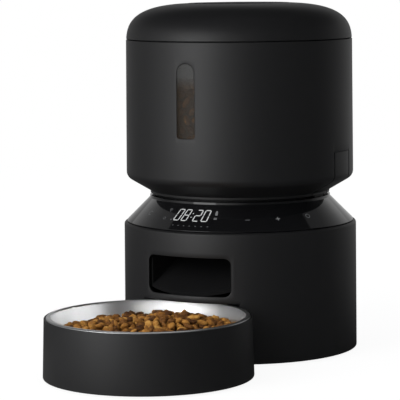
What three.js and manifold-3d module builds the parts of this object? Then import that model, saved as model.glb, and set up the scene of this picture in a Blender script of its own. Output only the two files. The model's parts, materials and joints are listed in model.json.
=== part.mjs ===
// Automatic dry-food feeder for cats and small dogs: a round tower that holds the food and doses it,
// and a steel bowl in a round holder that nests into the front of the tower.
// Millimetres, +Z up, the front of the feeder faces -Y, the table is at z = 0.

import * as THREE from 'three';
import { mergeVertices } from 'three/addons/utils/BufferGeometryUtils.js';
import Module from 'manifold-3d';

const wasm = await Module();
wasm.setup();

const deg = Math.PI / 180;
const fullTurn = 2 * Math.PI;

// Driving sizes

const base = { footR: 95.5, draft: 0.5, lintel: 19.8, wall: 2.8, fillet: 2.2, shelf: 11, flange: 2.6 };
const ring = { inset: 1.7, rise: 19.6, lip: 1.9, wall: 2.2, slope: 45 * deg, knee: 0.6 };
const tank = {
  inset: 2.25, taper: 0.75, height: 124.75, wall: 2.4, lipInset: 0.4, lip: 2.1, lipWidth: 3.2,
  underslope: 30.5 * deg, cornerR: 7,
};
const lid = { height: 28.4, wall: 2.6, flatR: 26.4, startDrop: 9.7, sidePower: 2.884, topPower: 3.536 };
const knob = { r: 41.9, depth: 8.4, floor: 2.5, stemR: 6, square: 8 };
const holder = { footR: 80.8, taper: 1.35, rimZ: 47.4, wall: 2.4, nest: 21.9 };
const bowl = {
  sheet: 0.9, floorIn: 26.9, floorZ: 9.8, coveRun: 9, coveRise: 2.6, neckIn: 4.6, neckDrop: 9, seatIn: 2.2,
  roll: 1.7,
};
const viewport = { width: 15.8, height: 58.9, topDrop: 16.35, cornerR: 2.5 };
const outlet = { width: 73.8, height: 30.4, overNiche: 5.3, cornerR: 6 };
const flap = { width: 26, height: 35.9, slit: 1.2 };
const spigot = { inset: 7.7, depth: 6.8, wall: 2.2, floor: 2.4 };
const rotor = { height: 12.7, blades: 6, bladeThick: 2.2, sweep: 16 * deg, journalR: 8.6, hubR: 14 };
const cell = { r: 16.6, length: 61.5, apart: 1.2, count: 3, capR: 4.6, capLength: 2.2 };

// Clearances that several pieces share

const gap = 0.3;              // between pieces that seat on each other
const floorGap = 1.4;         // the walls stop this far above the table
const tankGap = 1.7;          // shadow line between the control ring and the tank
const seamGap = 0.7;          // shadow line between the tank and the lid
const nicheGap = 0.9;         // round the bowl holder where it nests into the tower
const nicheHead = 1.9;        // above the bowl holder in its niche
const spigotGap = 0.6;        // round the foot of the tank in its collar
const slack = 0.4;            // round shafts, latches and bolts
const past = 2;               // how far a cutter runs past the face that it opens

// Facets of a full turn, and steps of a small round

const turns = { shell: 56, bowl: 52, plate: 32, small: 20, pin: 12 };
const roundSteps = 3;
const boreSteps = 6;

// Turning closed geometry into solids and back

function solidOf(geometry) {
  geometry.deleteAttribute('normal');
  geometry.deleteAttribute('uv');
  const merged = mergeVertices(geometry);
  const index = merged.index.array;
  const kept = [];
  for (let i = 0; i < index.length; i += 3) {
    const [a, b, c] = [index[i], index[i + 1], index[i + 2]];
    if (a !== b && b !== c && c !== a) kept.push(a, b, c);
  }
  return new wasm.Manifold(new wasm.Mesh({
    numProp: 3,
    vertProperties: new Float32Array(merged.attributes.position.array),
    triVerts: new Uint32Array(kept),
  }));
}

function geometryOf(body) {
  const { vertProperties, triVerts } = body.getMesh();
  const geometry = new THREE.BufferGeometry();
  geometry.setAttribute('position', new THREE.BufferAttribute(vertProperties, 3));
  geometry.setIndex(new THREE.BufferAttribute(triVerts, 1));
  geometry.computeVertexNormals();
  return geometry;
}

const join = (first, ...rest) => rest.reduce((sum, body) => sum.add(body), first);
const cut = (first, ...rest) => rest.reduce((left, body) => left.subtract(body), first);
const turned = (body, angle) => solidOf(geometryOf(body).rotateZ(angle));
const times = (count, make) => Array.from({ length: count }, (_, i) => make(i));
const aroundAxis = (body, count) => times(count, (i) => turned(body, (i * fullTurn) / count));

// A body moved out from the axis, at an angle counted from the front towards +X
const onCircle = (body, r, angle) => (
  solidOf(geometryOf(body).translate(r * Math.sin(angle), -r * Math.cos(angle), 0)));

// A profile of [radius, height] points turned about Z: it starts and ends on the axis, or is a closed loop
function revolve(profile, segments) {
  const points = profile.map(([r, z]) => new THREE.Vector2(r, z));
  if (THREE.ShapeUtils.area(points) < 0) points.reverse();
  if (points[0].x > 0 || points.at(-1).x > 0) points.push(points[0].clone());
  return solidOf(new THREE.LatheGeometry(points, segments).rotateX(Math.PI / 2));
}

function disc(r, z0, z1, segments, x = 0, y = 0) {
  const geometry = new THREE.CylinderGeometry(r, r, z1 - z0, segments).rotateX(Math.PI / 2);
  return solidOf(geometry.translate(x, y, (z0 + z1) / 2));
}

function block([x0, x1], [y0, y1], [z0, z1]) {
  const geometry = new THREE.BoxGeometry(x1 - x0, y1 - y0, z1 - z0);
  return solidOf(geometry.translate((x0 + x1) / 2, (y0 + y1) / 2, (z0 + z1) / 2));
}

const about = (middle, width) => [middle - width / 2, middle + width / 2];
const shapeOf = (points) => new THREE.Shape(points.map(([x, y]) => new THREE.Vector2(x, y)));

function extruded(shape, depth, curveSegments = roundSteps) {
  return new THREE.ExtrudeGeometry(shape, { depth, bevelEnabled: false, curveSegments });
}

function prism(shape, z0, z1, curveSegments) {
  return solidOf(extruded(shape, z1 - z0, curveSegments).translate(0, 0, z0));
}

// A shape drawn as [x, z] and pushed through from y0 to y1
function prismAlongY(shape, y0, y1, curveSegments) {
  return solidOf(extruded(shape, y1 - y0, curveSegments).rotateX(Math.PI / 2).translate(0, y1, 0));
}

// A shape drawn as [y, z] and pushed through from x0 to x1
function prismAlongX(shape, x0, x1, curveSegments) {
  const axes = [new THREE.Vector3(0, 1, 0), new THREE.Vector3(0, 0, 1), new THREE.Vector3(1, 0, 0)];
  const geometry = extruded(shape, x1 - x0, curveSegments);
  return solidOf(geometry.applyMatrix4(new THREE.Matrix4().makeBasis(...axes)).translate(x0, 0, 0));
}

function circle(r, x = 0, y = 0) {
  const shape = new THREE.Shape();
  shape.absarc(x, y, r, 0, fullTurn, false);
  return shape;
}

function roundedRect(width, bottom, height, r, topR = r) {
  const [w, top] = [width / 2, bottom + height];
  const shape = new THREE.Shape();
  shape.moveTo(-w + r, bottom);
  shape.lineTo(w - r, bottom);
  shape.absarc(w - r, bottom + r, r, -Math.PI / 2, 0, false);
  shape.lineTo(w, top - topR);
  shape.absarc(w - topR, top - topR, topR, 0, Math.PI / 2, false);
  shape.lineTo(-w + topR, top);
  shape.absarc(-w + topR, top - topR, topR, Math.PI / 2, Math.PI, false);
  shape.lineTo(-w, bottom + r);
  shape.absarc(-w + r, bottom + r, r, Math.PI, 1.5 * Math.PI, false);
  return shape;
}

// Points of a rounded corner between two straight stretches of a profile
function rounded(before, corner, after, radius, steps = roundSteps) {
  const away = ([x, y]) => new THREE.Vector2(x - corner[0], y - corner[1]).normalize();
  const [toBefore, toAfter] = [away(before), away(after)];
  const half = Math.acos(toBefore.dot(toAfter)) / 2;
  const centre = toBefore.clone().add(toAfter).normalize().multiplyScalar(radius / Math.sin(half));
  const start = toBefore.multiplyScalar(radius / Math.tan(half)).sub(centre);
  const end = toAfter.multiplyScalar(radius / Math.tan(half)).sub(centre);
  const sweep = Math.atan2(start.cross(end), start.dot(end));
  return times(steps + 1, (i) => {
    const arm = start.clone().rotateAround(new THREE.Vector2(), (sweep * i) / steps);
    return [corner[0] + centre.x + arm.x, corner[1] + centre.y + arm.y];
  });
}

// A sheet of even thickness along a profile line that starts on the axis, to the left of its direction
function thickened(line, thickness) {
  const offset = line.map((point, i) => {
    const direction = (from, to) => new THREE.Vector2(to[0] - from[0], to[1] - from[1]).normalize();
    const next = line[Math.min(i + 1, line.length - 1)];
    const last = line[Math.max(i - 1, 0)];
    const arriving = i === 0 ? direction(point, next) : direction(last, point);
    const leaving = i === line.length - 1 ? arriving : direction(point, next);
    const along = arriving.clone().add(leaving).normalize();
    const reach = thickness / along.dot(arriving);
    return [Math.max(point[0] - along.y * reach, 0), point[1] + along.x * reach];
  });
  return [...line, ...offset.reverse()];
}

// The part of a disc or ring between two angles, counted from the front towards +X
function sector(r0, r1, a0, a1, z0, z1, steps) {
  const arc = (r, from, to) => times(steps + 1, (i) => {
    const a = from + ((to - from) * i) / steps;
    return [r * Math.sin(a), -r * Math.cos(a)];
  });
  const inner = r0 > 0 ? arc(r0, a1, a0) : [[0, 0]];
  return prism(shapeOf([...arc(r1, a0, a1), ...inner]), z0, z1);
}

// Finishes

const finish = (color, roughness, metalness = 0, extra = {}) => (
  () => new THREE.MeshStandardMaterial({ color, roughness, metalness, ...extra }));
const satinBlack = finish(0x2a2a2c, 0.5);
const pianoBlack = finish(0x0a0a0c, 0.12);
const innerPlastic = finish(0x3a3a3c, 0.6);
const smokedClear = finish(0x6c675c, 0.15, 0, { transparent: true, opacity: 0.35 });
const steel = finish(0xc4c6c8, 0.22, 1);
const silicone = finish(0x8c8f92, 0.75);
const rubber = finish(0x141414, 0.9);
const acetal = finish(0xe6e2d6, 0.45);
const boardGreen = finish(0x1f5a34, 0.45);
const cellJacket = finish(0x44484c, 0.4, 0.3);
const bronze = finish(0xa8783c, 0.4, 0.9);

// Groups: the tower is drawn about its own axis, the dish about the bowl's

const feeder = new THREE.Group();
const tower = new THREE.Group();
const dish = new THREE.Group();
const holderReach = base.footR + holder.footR - holder.nest;
const towerY = (holderReach + holder.footR - base.footR) / 2;
tower.position.y = towerY;
dish.position.y = towerY - holderReach;
feeder.add(tower, dish);

function addPiece(group, name, body, material) {
  const mesh = new THREE.Mesh(geometryOf(body), material());
  mesh.name = name;
  group.add(mesh);
}

// Levels and radii that follow from the driving sizes

const nicheTopZ = holder.rimZ + nicheHead;
const outletZ = nicheTopZ + outlet.overNiche;
const outletTopZ = outletZ + outlet.height;
const baseTopR = base.footR - base.draft;
const baseTopZ = outletTopZ + base.lintel;
const ringFootR = baseTopR - ring.inset;
const ringTopR = ringFootR - ring.rise / Math.tan(ring.slope);
const ringFootZ = baseTopZ + gap;
const coneR = (z, depth) => (
  ringFootR - (z - ringFootZ) / Math.tan(ring.slope) - depth / Math.sin(ring.slope));
const coneZ = (r, depth) => (
  ringFootZ + (ringFootR - depth / Math.sin(ring.slope) - r) * Math.tan(ring.slope));
const ringKneeZ = ringFootZ + ring.rise;
const ringTopZ = ringKneeZ + ring.lip;
const lipZ = ringTopZ + tankGap;
const lipR = ringTopR - tank.lipInset;
const spigotR = ringTopR - spigot.inset;
const tankLowR = baseTopR - tank.inset;
const tankTopR = tankLowR - tank.taper;
const tankTopZ = lipZ + tank.height;
const windowZ = tankTopZ - viewport.topDrop - viewport.height;
const flapTopZ = lipZ + flap.height;
const lidFootZ = tankTopZ + seamGap;
const lidTopZ = lidFootZ + lid.height;
const spigotZ = lipZ - spigot.depth;
const deckTopZ = spigotZ - gap;
const nicheR = holder.footR + nicheGap;
const plate = { z: 2.6, thick: 2.4 };
const plateTopZ = plate.z + plate.thick;

// Base shell with its shoulder flange, bowl niche, food outlet, plug hole and screw pillars

const shell = {
  nicheWall: 2.4, pillars: 4, pillarR: 4.5, pillarIn: 7.1, pillarHeight: 36, pillarTurn: 45 * deg,
  plugR: 5.6, plugZ: 22,
};
const tongue = { width: 38, length: 7.2, z: 5.8, thick: 4, root: 3 };
const innerFootR = base.footR - base.wall;
const innerTopR = baseTopR - base.wall;
const flangeZ = baseTopZ - base.flange;
const innerR = (z) => innerFootR + ((innerTopR - innerFootR) * (z - floorGap)) / (flangeZ - floorGap);
const atBowl = (r, z0, z1) => disc(r, z0, z1, turns.bowl, 0, -holderReach);

const baseBody = revolve([
  [0, floorGap],
  [base.footR, floorGap],
  ...rounded([base.footR, floorGap], [baseTopR, baseTopZ], [0, baseTopZ], base.fillet),
  [0, baseTopZ],
], turns.shell);
const baseHollow = revolve([
  [0, -past], [innerR(-past), -past], [innerTopR, flangeZ], [0, flangeZ],
], turns.shell);
const nicheLiner = atBowl(nicheR + shell.nicheWall, -past, nicheTopZ + shell.nicheWall);
const baseWalls = cut(
  baseBody,
  cut(baseHollow, nicheLiner),
  disc(baseTopR - base.shelf, flangeZ - past, baseTopZ + past, turns.shell));
const pillar = onCircle(
  disc(shell.pillarR, plateTopZ + gap, plateTopZ + shell.pillarHeight, turns.pin),
  base.footR - shell.pillarIn, shell.pillarTurn).intersect(baseBody);
const outletOpening = roundedRect(outlet.width, outletZ, outlet.height, outlet.cornerR);
const outletBackY = -Math.sqrt(innerTopR ** 2 - (outlet.width / 2) ** 2) + past;
const nicheBackY = nicheR - holderReach;
addPiece(tower, 'base_shell', cut(
  join(baseWalls, ...aroundAxis(pillar, shell.pillars)),
  atBowl(nicheR, -past, nicheTopZ),
  prismAlongY(outletOpening, -base.footR - past, outletBackY),
  prismAlongY(circle(shell.plugR, 0, shell.plugZ), innerTopR - past, base.footR + past, boreSteps),
  block(
    about(0, tongue.width + 2 * slack),
    [nicheBackY - tongue.length, nicheBackY + shell.nicheWall + past],
    [tongue.z - slack, tongue.z + tongue.thick + slack]),
), satinBlack);

// Upper chassis: the cone that carries the control ring, the deck under the tank and the tank's collar

const chassis = { standoff: 1.6, skin: 2.2, deck: 2.4, collar: 2.4, collarDrop: 0.4 };
const skinOut = ring.wall + chassis.standoff;
const skinIn = skinOut + chassis.skin;
const collarR = spigotR + spigotGap;
const collarOutR = collarR + chassis.collar;
const deckZ = deckTopZ - chassis.deck;
const shoulderR = coneR(deckTopZ, skinOut);
const drop = { innerR: 30, inset: 8, half: 26 * deg, steps: 5 };
const dropR = spigotR - drop.inset;
const display = { width: 50, height: 12, thick: 1.6, lamps: 38, lampsHeight: 10, lampsThick: 2, below: 2 };
const bush = { r: 8, bore: 5.3, below: 1.3 };
const hook = { width: 16, clear: 0.9, thick: 1.9, nose: 0.5, noseZ: 1.6 };
const hookR = collarOutR + hook.clear;
const hookOutR = hookR + hook.thick;

// A flat block parallel to the face of the cone, between two depths under it
function blockInCone(width, height, depth0, depth1) {
  const along = new THREE.Vector3(1, 0, 0);
  const out = new THREE.Vector3(0, -Math.sin(ring.slope), Math.cos(ring.slope));
  const up = out.clone().cross(along);
  const middleR = (ringFootR + ringTopR) / 2;
  const place = new THREE.Vector3(0, -middleR, coneZ(middleR, 0));
  place.addScaledVector(out, -(depth0 + depth1) / 2);
  const geometry = new THREE.BoxGeometry(width, height, depth1 - depth0);
  return solidOf(geometry.applyMatrix4(new THREE.Matrix4().makeBasis(along, up, out).setPosition(place)));
}
const hookSlots = aroundAxis(block(
  [spigotR, hookOutR + hook.nose + gap],
  about(0, hook.width + 2 * slack),
  [deckTopZ, ringTopZ + past]), 2);
addPiece(tower, 'upper_chassis', cut(
  revolve([
    [coneR(ringFootZ, skinIn), ringFootZ],
    [coneR(ringFootZ, skinOut), ringFootZ],
    [shoulderR, deckTopZ],
    [collarOutR, deckTopZ],
    [collarOutR, ringTopZ - chassis.collarDrop],
    [collarR, ringTopZ - chassis.collarDrop],
    [collarR, deckTopZ],
    [bush.r + gap, deckTopZ],
    [bush.r + gap, deckZ],
    [coneR(deckZ, skinIn), deckZ],
  ], turns.shell),
  sector(drop.innerR, dropR, -drop.half, drop.half, deckZ - past, deckTopZ + past, drop.steps),
  blockInCone(display.width + 2 * slack, display.height + 2 * slack, skinOut - past, skinIn + past),
  ...hookSlots,
), innerPlastic);

// Glossy control ring and what lies behind it: the clock display and the touch strip of the three keys

const ringRaised = collarOutR + slack;
const ringShelfZ = ringTopZ - ring.wall;
addPiece(tower, 'control_ring', cut(revolve([
  [coneR(ringFootZ, ring.wall), ringFootZ],
  [ringFootR, ringFootZ],
  [ringTopR + ring.knee, ringKneeZ - ring.knee],
  [ringTopR, ringKneeZ + ring.knee],
  [ringTopR, ringTopZ],
  [ringRaised, ringTopZ],
  [ringRaised, ringShelfZ],
  [coneR(ringShelfZ, ring.wall), ringShelfZ],
], turns.shell), ...hookSlots), pianoBlack);

const lampsDepth = ring.wall + display.below;
const displayDepth = lampsDepth + display.lampsThick;
addPiece(tower, 'display_board', join(
  blockInCone(display.width, display.height, displayDepth, displayDepth + display.thick),
  blockInCone(display.lamps, display.lampsHeight, lampsDepth, displayDepth + display.thick / 2),
), boardGreen);

const touch = { thick: 1, up: 5.9, height: 9, from: 24 * deg, to: 76 * deg, steps: 8 };
const [touchZ, touchTopZ] = [ringFootZ + touch.up, ringFootZ + touch.up + touch.height];
addPiece(tower, 'touch_strip', revolve([
  [coneR(touchZ, ring.wall + gap), touchZ],
  [coneR(touchTopZ, ring.wall + gap), touchTopZ],
  [coneR(touchTopZ, ring.wall + gap + touch.thick), touchTopZ],
  [coneR(touchZ, ring.wall + gap + touch.thick), touchZ],
], turns.shell).intersect(
  sector(0, base.footR, touch.from, touch.to, touchZ - past, touchTopZ + past, touch.steps)), bronze);

// Food chute: a shaft under the drop opening that widens into a slide down to the outlet

const chute = { wall: 2.2, room: 1.4, kneeDrop: 21.8, roofDrop: 8.8, straight: 9 };
const chuteTopZ = deckZ - gap;
const chuteBackY = -drop.innerR * Math.cos(drop.half) + chute.room;
const chuteFrontY = -dropR - chute.room;
const chuteHalf = dropR * Math.sin(drop.half) + chute.room;
const slide = (y0, z0, y1, z1) => {
  const slope = (z1 - z0) / (y1 - y0);
  return { at: (y) => z0 + (y - y0) * slope, thick: chute.wall * Math.hypot(1, slope) };
};
const slideFloor = slide(-baseTopR, outletZ, chuteBackY, deckZ - chute.kneeDrop);
const slideRoof = slide(-baseTopR, outletTopZ, chuteFrontY, deckZ - chute.roofDrop);
function chuteBody(grow, overrun) {
  const [frontY, backY, shaftY] = [-baseTopR - past, chuteBackY + grow, chuteFrontY - grow];
  const straightY = chuteFrontY + chute.straight;
  const thickRatio = grow / chute.wall;
  const side = prismAlongX(shapeOf([
    [backY, chuteTopZ + overrun],
    [shaftY, chuteTopZ + overrun],
    [shaftY, slideRoof.at(shaftY) + slideRoof.thick * thickRatio],
    [frontY, slideRoof.at(frontY) + slideRoof.thick * thickRatio],
    [frontY, slideFloor.at(frontY) - slideFloor.thick * thickRatio],
    [backY, slideFloor.at(backY) - slideFloor.thick * thickRatio],
  ]), -outlet.width, outlet.width);
  const [neck, mouth] = [chuteHalf + grow, outlet.width / 2 + grow];
  const plan = prism(shapeOf([
    [-neck, backY], [-neck, straightY], [-mouth, -baseTopR], [-mouth, frontY],
    [mouth, frontY], [mouth, -baseTopR], [neck, straightY], [neck, backY],
  ]), 0, deckTopZ);
  return side.intersect(plan);
}
addPiece(tower, 'food_chute', cut(chuteBody(chute.wall, 0), chuteBody(0, past))
  .intersect(disc(innerTopR - gap, 0, deckTopZ, turns.shell)), innerPlastic);

// Gear train: motor pinion, compound gear and output gear in a case under the deck

const gear = {
  module: 1, big: 36, small: 12, pressure: 25 * deg, backlash: 0.24, rootGap: 0.3, flankSteps: 2,
};
const box = {
  wall: 2, floor: 2, tipGap: 1.4, headroom: 3, upper: 6, lower: 5.5, under: 1.5,
  toCompound: 60 * deg, toPinion: 150 * deg,
};
const shaft = { r: 5, lowerR: 3.5, dogR: 6, dogRise: 9.3, pinR: 2, motorR: 1.5 };
const motor = { r: 13, length: 31, shaftDepth: 8 };
const centres = (gear.module * (gear.big + gear.small)) / 2;
const compoundAt = [centres * Math.cos(box.toCompound), centres * Math.sin(box.toCompound)];
const pinionAt = [
  compoundAt[0] + centres * Math.cos(box.toPinion), compoundAt[1] + centres * Math.sin(box.toPinion)];
const boxTopZ = deckZ - gap;
const upperZ = boxTopZ - box.headroom - box.upper;
const lowerTopZ = upperZ - box.under;
const lowerZ = lowerTopZ - box.lower;
const boxFloorZ = lowerZ - box.under;
const boxZ = boxFloorZ - box.floor;
const involute = (a) => Math.tan(a) - a;

// Outline of an involute gear with one tooth centred on the given direction
function gearShape(teeth, toothAt, [x, y]) {
  const pitchR = (gear.module * teeth) / 2;
  const baseR = pitchR * Math.cos(gear.pressure);
  const tipR = pitchR + gear.module - gear.rootGap / 2;
  const rootR = pitchR - gear.module - gear.rootGap;
  const halfAtPitch = (Math.PI * gear.module) / 2 / pitchR / 2 - gear.backlash / 2 / pitchR;
  const halfAt = (r) => (
    halfAtPitch + involute(gear.pressure) - involute(Math.acos(Math.min(1, baseR / Math.max(r, baseR)))));
  const flankR = times(gear.flankSteps + 1, (i) => {
    const startR = Math.max(rootR, baseR);
    return startR + ((tipR - startR) * i) / gear.flankSteps;
  });
  const points = [];
  for (let tooth = 0; tooth < teeth; tooth += 1) {
    const middle = toothAt + (tooth * fullTurn) / teeth;
    const rising = flankR.map((r) => [r, middle - halfAt(r)]);
    const falling = flankR.map((r) => [r, middle + halfAt(r)]).reverse();
    const root = rootR < baseR ? [[rootR, middle - halfAt(baseR)]] : [];
    const rootEnd = rootR < baseR ? [[rootR, middle + halfAt(baseR)]] : [];
    points.push(...root, ...rising, ...falling, ...rootEnd);
  }
  return shapeOf(points.map(([r, a]) => [x + r * Math.cos(a), y + r * Math.sin(a)]));
}

const halfPitch = Math.PI / gear.small;
const hexPrism = (r, z0, z1) => disc(r, z0, z1, 6);
const dogTopZ = deckTopZ + shaft.dogRise;
addPiece(tower, 'output_gear', join(
  prism(gearShape(gear.big, box.toCompound, [0, 0]), upperZ, upperZ + box.upper),
  disc(shaft.r, upperZ + box.upper / 2, deckTopZ + shaft.dogRise / 2, turns.small),
  disc(shaft.lowerR, boxZ + gap, upperZ + box.upper / 2, turns.small),
  hexPrism(shaft.dogR, deckTopZ, dogTopZ),
), acetal);
addPiece(tower, 'compound_gear', cut(
  join(
    prism(gearShape(gear.big, box.toPinion, compoundAt), lowerZ, lowerTopZ),
    prism(gearShape(gear.small, box.toCompound + Math.PI + halfPitch, compoundAt),
      lowerZ + box.lower / 2, upperZ + box.upper)),
  prism(circle(shaft.pinR + gap, ...compoundAt), lowerZ - past, upperZ + box.upper + past, boreSteps),
), acetal);
const motorTopZ = boxZ - gap;
addPiece(tower, 'drive_pinion', join(
  prism(gearShape(gear.small, box.toPinion + Math.PI + halfPitch, pinionAt), lowerZ, lowerTopZ),
  disc(shaft.motorR, motorTopZ - motor.shaftDepth + slack, lowerZ + box.lower / 2, turns.pin, ...pinionAt),
), steel);
addPiece(tower, 'compound_gear_pin', disc(
  shaft.pinR, boxZ + box.floor / 2 + gap, boxTopZ - gap, turns.pin, ...compoundAt), steel);
addPiece(tower, 'output_bush', cut(
  disc(bush.r, deckZ - bush.below, deckTopZ, turns.small),
  disc(bush.bore, deckZ - bush.below - past, deckTopZ + past, turns.small)), bronze);

// Gear case: a tray round the three gears, open towards the deck

const bigTipR = (gear.module * gear.big) / 2 + gear.module + box.tipGap;
const smallTipR = (gear.module * gear.small) / 2 + gear.module + box.tipGap;
const around = (grow, z0, z1) => join(
  disc(bigTipR + grow, z0, z1, turns.plate),
  disc(bigTipR + grow, z0, z1, turns.plate, ...compoundAt),
  disc(smallTipR + grow, z0, z1, turns.small, ...pinionAt));
addPiece(tower, 'gear_case', cut(
  around(box.wall, boxZ, boxTopZ),
  around(0, boxFloorZ, boxTopZ + past),
  disc(shaft.lowerR + slack, boxZ - past, boxFloorZ + past, turns.small),
  disc(shaft.motorR + slack, boxZ - past, boxFloorZ + past, turns.pin, ...pinionAt),
  disc(shaft.pinR + gap, boxZ + box.floor / 2, boxFloorZ + past, turns.pin, ...compoundAt),
), innerPlastic);
addPiece(tower, 'drive_motor', cut(
  disc(motor.r, motorTopZ - motor.length, motorTopZ, turns.small, ...pinionAt),
  disc(shaft.motorR + slack, motorTopZ - motor.shaftDepth, motorTopZ + past, turns.pin, ...pinionAt),
), steel);

// Underside: bottom plate, hinged battery door, battery box with its contacts, the cells and the feet

const door = { y: 12, side: 1, end: 1.5, clear: 0.6, rib: 2.1, ribThick: 2, ribIn: 5, thumbR: 8 };
const cellPitch = 2 * cell.r + cell.apart;
const doorHalf = (cellPitch * (cell.count - 1)) / 2 + cell.r + door.side;
const doorY = about(door.y, cell.length + 2 * door.end);
const cellsZ = plateTopZ + door.rib + gap + cell.r;
const bay = { wall: 2, spare: 0.6, contact: 1, contactHeight: 22, rail: 1.6, railDrop: 8 };
const bayHalf = doorHalf + door.clear;
const bayY = about(door.y, cell.length + 2 * (bay.contact + 2 * gap));
const bayTopZ = cellsZ + cell.r + bay.spare;
const plateR = innerR(plate.z) - gap;
const grown = ([low, high], by) => [low - by, high + by];
addPiece(tower, 'bottom_plate', cut(
  disc(plateR, plate.z, plateTopZ, turns.shell),
  atBowl(nicheR + shell.nicheWall + gap, -past, nicheTopZ),
  block(about(0, 2 * bayHalf), grown(doorY, door.clear), [0, plateTopZ + past]),
), satinBlack);
const thumb = disc(door.thumbR, plate.z - past, plate.z + plate.thick / 2, turns.small, 0, doorY[1]);
const ribPlaces = grown(doorY, -door.ribIn);
addPiece(tower, 'battery_door', join(
  cut(block(about(0, 2 * doorHalf), doorY, [plate.z, plateTopZ]), thumb),
  ...ribPlaces.map((y) => block(
    about(0, 2 * (doorHalf - door.ribThick)), about(y, door.ribThick),
    [plateTopZ - plate.thick / 2, plateTopZ + door.rib])),
), satinBlack);
const bayInner = [about(0, 2 * bayHalf), bayY, [0, bayTopZ]];
addPiece(tower, 'battery_box', join(
  cut(block(grown(bayInner[0], bay.wall), grown(bayY, bay.wall), [plateTopZ + gap, bayTopZ + bay.wall]),
    block(...bayInner)),
  ...[-cellPitch / 2, cellPitch / 2].map((x) => block(
    about(x, bay.rail), about(door.y, cell.length), [bayTopZ - bay.railDrop, bayTopZ + bay.wall / 2])),
), innerPlastic);

// Each cell has its button at one end, and its neighbour's lies the other way round
for (let i = 0; i < cell.count; i += 1) {
  const x = (i - (cell.count - 1) / 2) * cellPitch;
  const [frontY, rearY] = about(door.y, cell.length);
  const [jacketY, capY] = i % 2 === 0
    ? [[frontY + cell.capLength, rearY], [frontY, frontY + 2 * cell.capLength]]
    : [[frontY, rearY - cell.capLength], [rearY - 2 * cell.capLength, rearY]];
  addPiece(tower, `battery_cell_${i + 1}`, join(
    prismAlongY(circle(cell.r, x, cellsZ), ...jacketY, 2 * boreSteps),
    prismAlongY(circle(cell.capR, x, cellsZ), ...capY, boreSteps),
  ), cellJacket);
}
[['front', bayY[0] + gap], ['rear', bayY[1] - gap - bay.contact]].forEach(([name, y]) => {
  addPiece(tower, `battery_contact_${name}`, block(
    about(0, 2 * cellPitch + cell.r), [y, y + bay.contact], about(cellsZ, bay.contactHeight)), bronze);
});

const foot = { r: 7, taper: 0.6, in: 17.5, rearTurn: 130 * deg, frontTurn: 104 * deg };

// Four rubber pads, named as they lie for someone who looks at the front
function addPads(group, name, r, top, axisR, frontTurn, rearTurn) {
  const pad = revolve([[0, 0], [r - foot.taper, 0], [r, foot.taper], [r, top], [0, top]], turns.small);
  [['front', frontTurn], ['rear', rearTurn]].forEach(([end, a]) => {
    addPiece(group, `${name}_${end}_right`, onCircle(pad, axisR, a), rubber);
    addPiece(group, `${name}_${end}_left`, onCircle(pad, axisR, -a), rubber);
  });
}
addPads(tower, 'foot', foot.r, plate.z - gap, base.footR - foot.in, foot.frontTurn, foot.rearTurn);

// Main board on the battery box, and the power inlet behind the rear wall

const post = { r: 2.5, height: 6.5, in: 4 };
const board = { width: 84, depth: 46, thick: 1.6, tallest: 8 };
const spacerZ = bayTopZ + bay.wall + gap;
const boardZ = spacerZ + post.height + gap;

// Place and size of the board's larger parts, as shares of its width, its depth and the tallest part
const chipShares = [
  { x: -0.29, y: 0.17, width: 0.21, depth: 0.26, height: 0.38 },
  { x: 0.05, y: -0.17, width: 0.11, depth: 0.2, height: 0.22 },
  { x: 0.32, y: 0.22, width: 0.14, depth: 0.22, height: 0.88 },
  { x: 0.31, y: -0.26, width: 0.1, depth: 0.17, height: 1 },
  { x: -0.31, y: -0.26, width: 0.24, depth: 0.13, height: 0.75 },
];
addPiece(tower, 'main_board', join(
  block(about(0, board.width), about(door.y, board.depth), [boardZ, boardZ + board.thick]),
  ...chipShares.map((chip) => block(
    about(chip.x * board.width, chip.width * board.width),
    about(door.y + chip.y * board.depth, chip.depth * board.depth),
    [boardZ + board.thick / 2, boardZ + board.thick + chip.height * board.tallest])),
), boardGreen);
const [postX, postY] = [board.width / 2 - post.in, board.depth / 2 - post.in];
const barZ = [spacerZ, spacerZ + post.r / 2];
addPiece(tower, 'board_spacer', join(
  ...[-postX, postX].flatMap((x) => [-postY, postY].map((y) => (
    disc(post.r, spacerZ, boardZ - gap, turns.pin, x, door.y + y)))),
  ...[-postX, postX].map((x) => block(about(x, post.r), about(door.y, 2 * postY), barZ)),
  block(about(0, 2 * postX), about(door.y, post.r), barZ),
), acetal);

const inlet = { width: 12, height: 11, depth: 13, boreR: 3.2, boreDepth: 10, pinR: 0.9, pinDepth: 8 };
const inletY = Math.sqrt(innerTopR ** 2 - (inlet.width / 2) ** 2) - 2 * gap;
addPiece(tower, 'power_inlet', join(
  cut(
    block(about(0, inlet.width), [inletY - inlet.depth, inletY], about(shell.plugZ, inlet.height)),
    prismAlongY(circle(inlet.boreR, 0, shell.plugZ), inletY - inlet.boreDepth, inletY + past, boreSteps)),
  prismAlongY(circle(inlet.pinR, 0, shell.plugZ), inletY - inlet.boreDepth - inlet.pinR,
    inletY - inlet.boreDepth + inlet.pinDepth, roundSteps),
), innerPlastic);

// Tank shell with its rounded lower corner, bolt bead, window slot and openings for the release flaps

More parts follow.
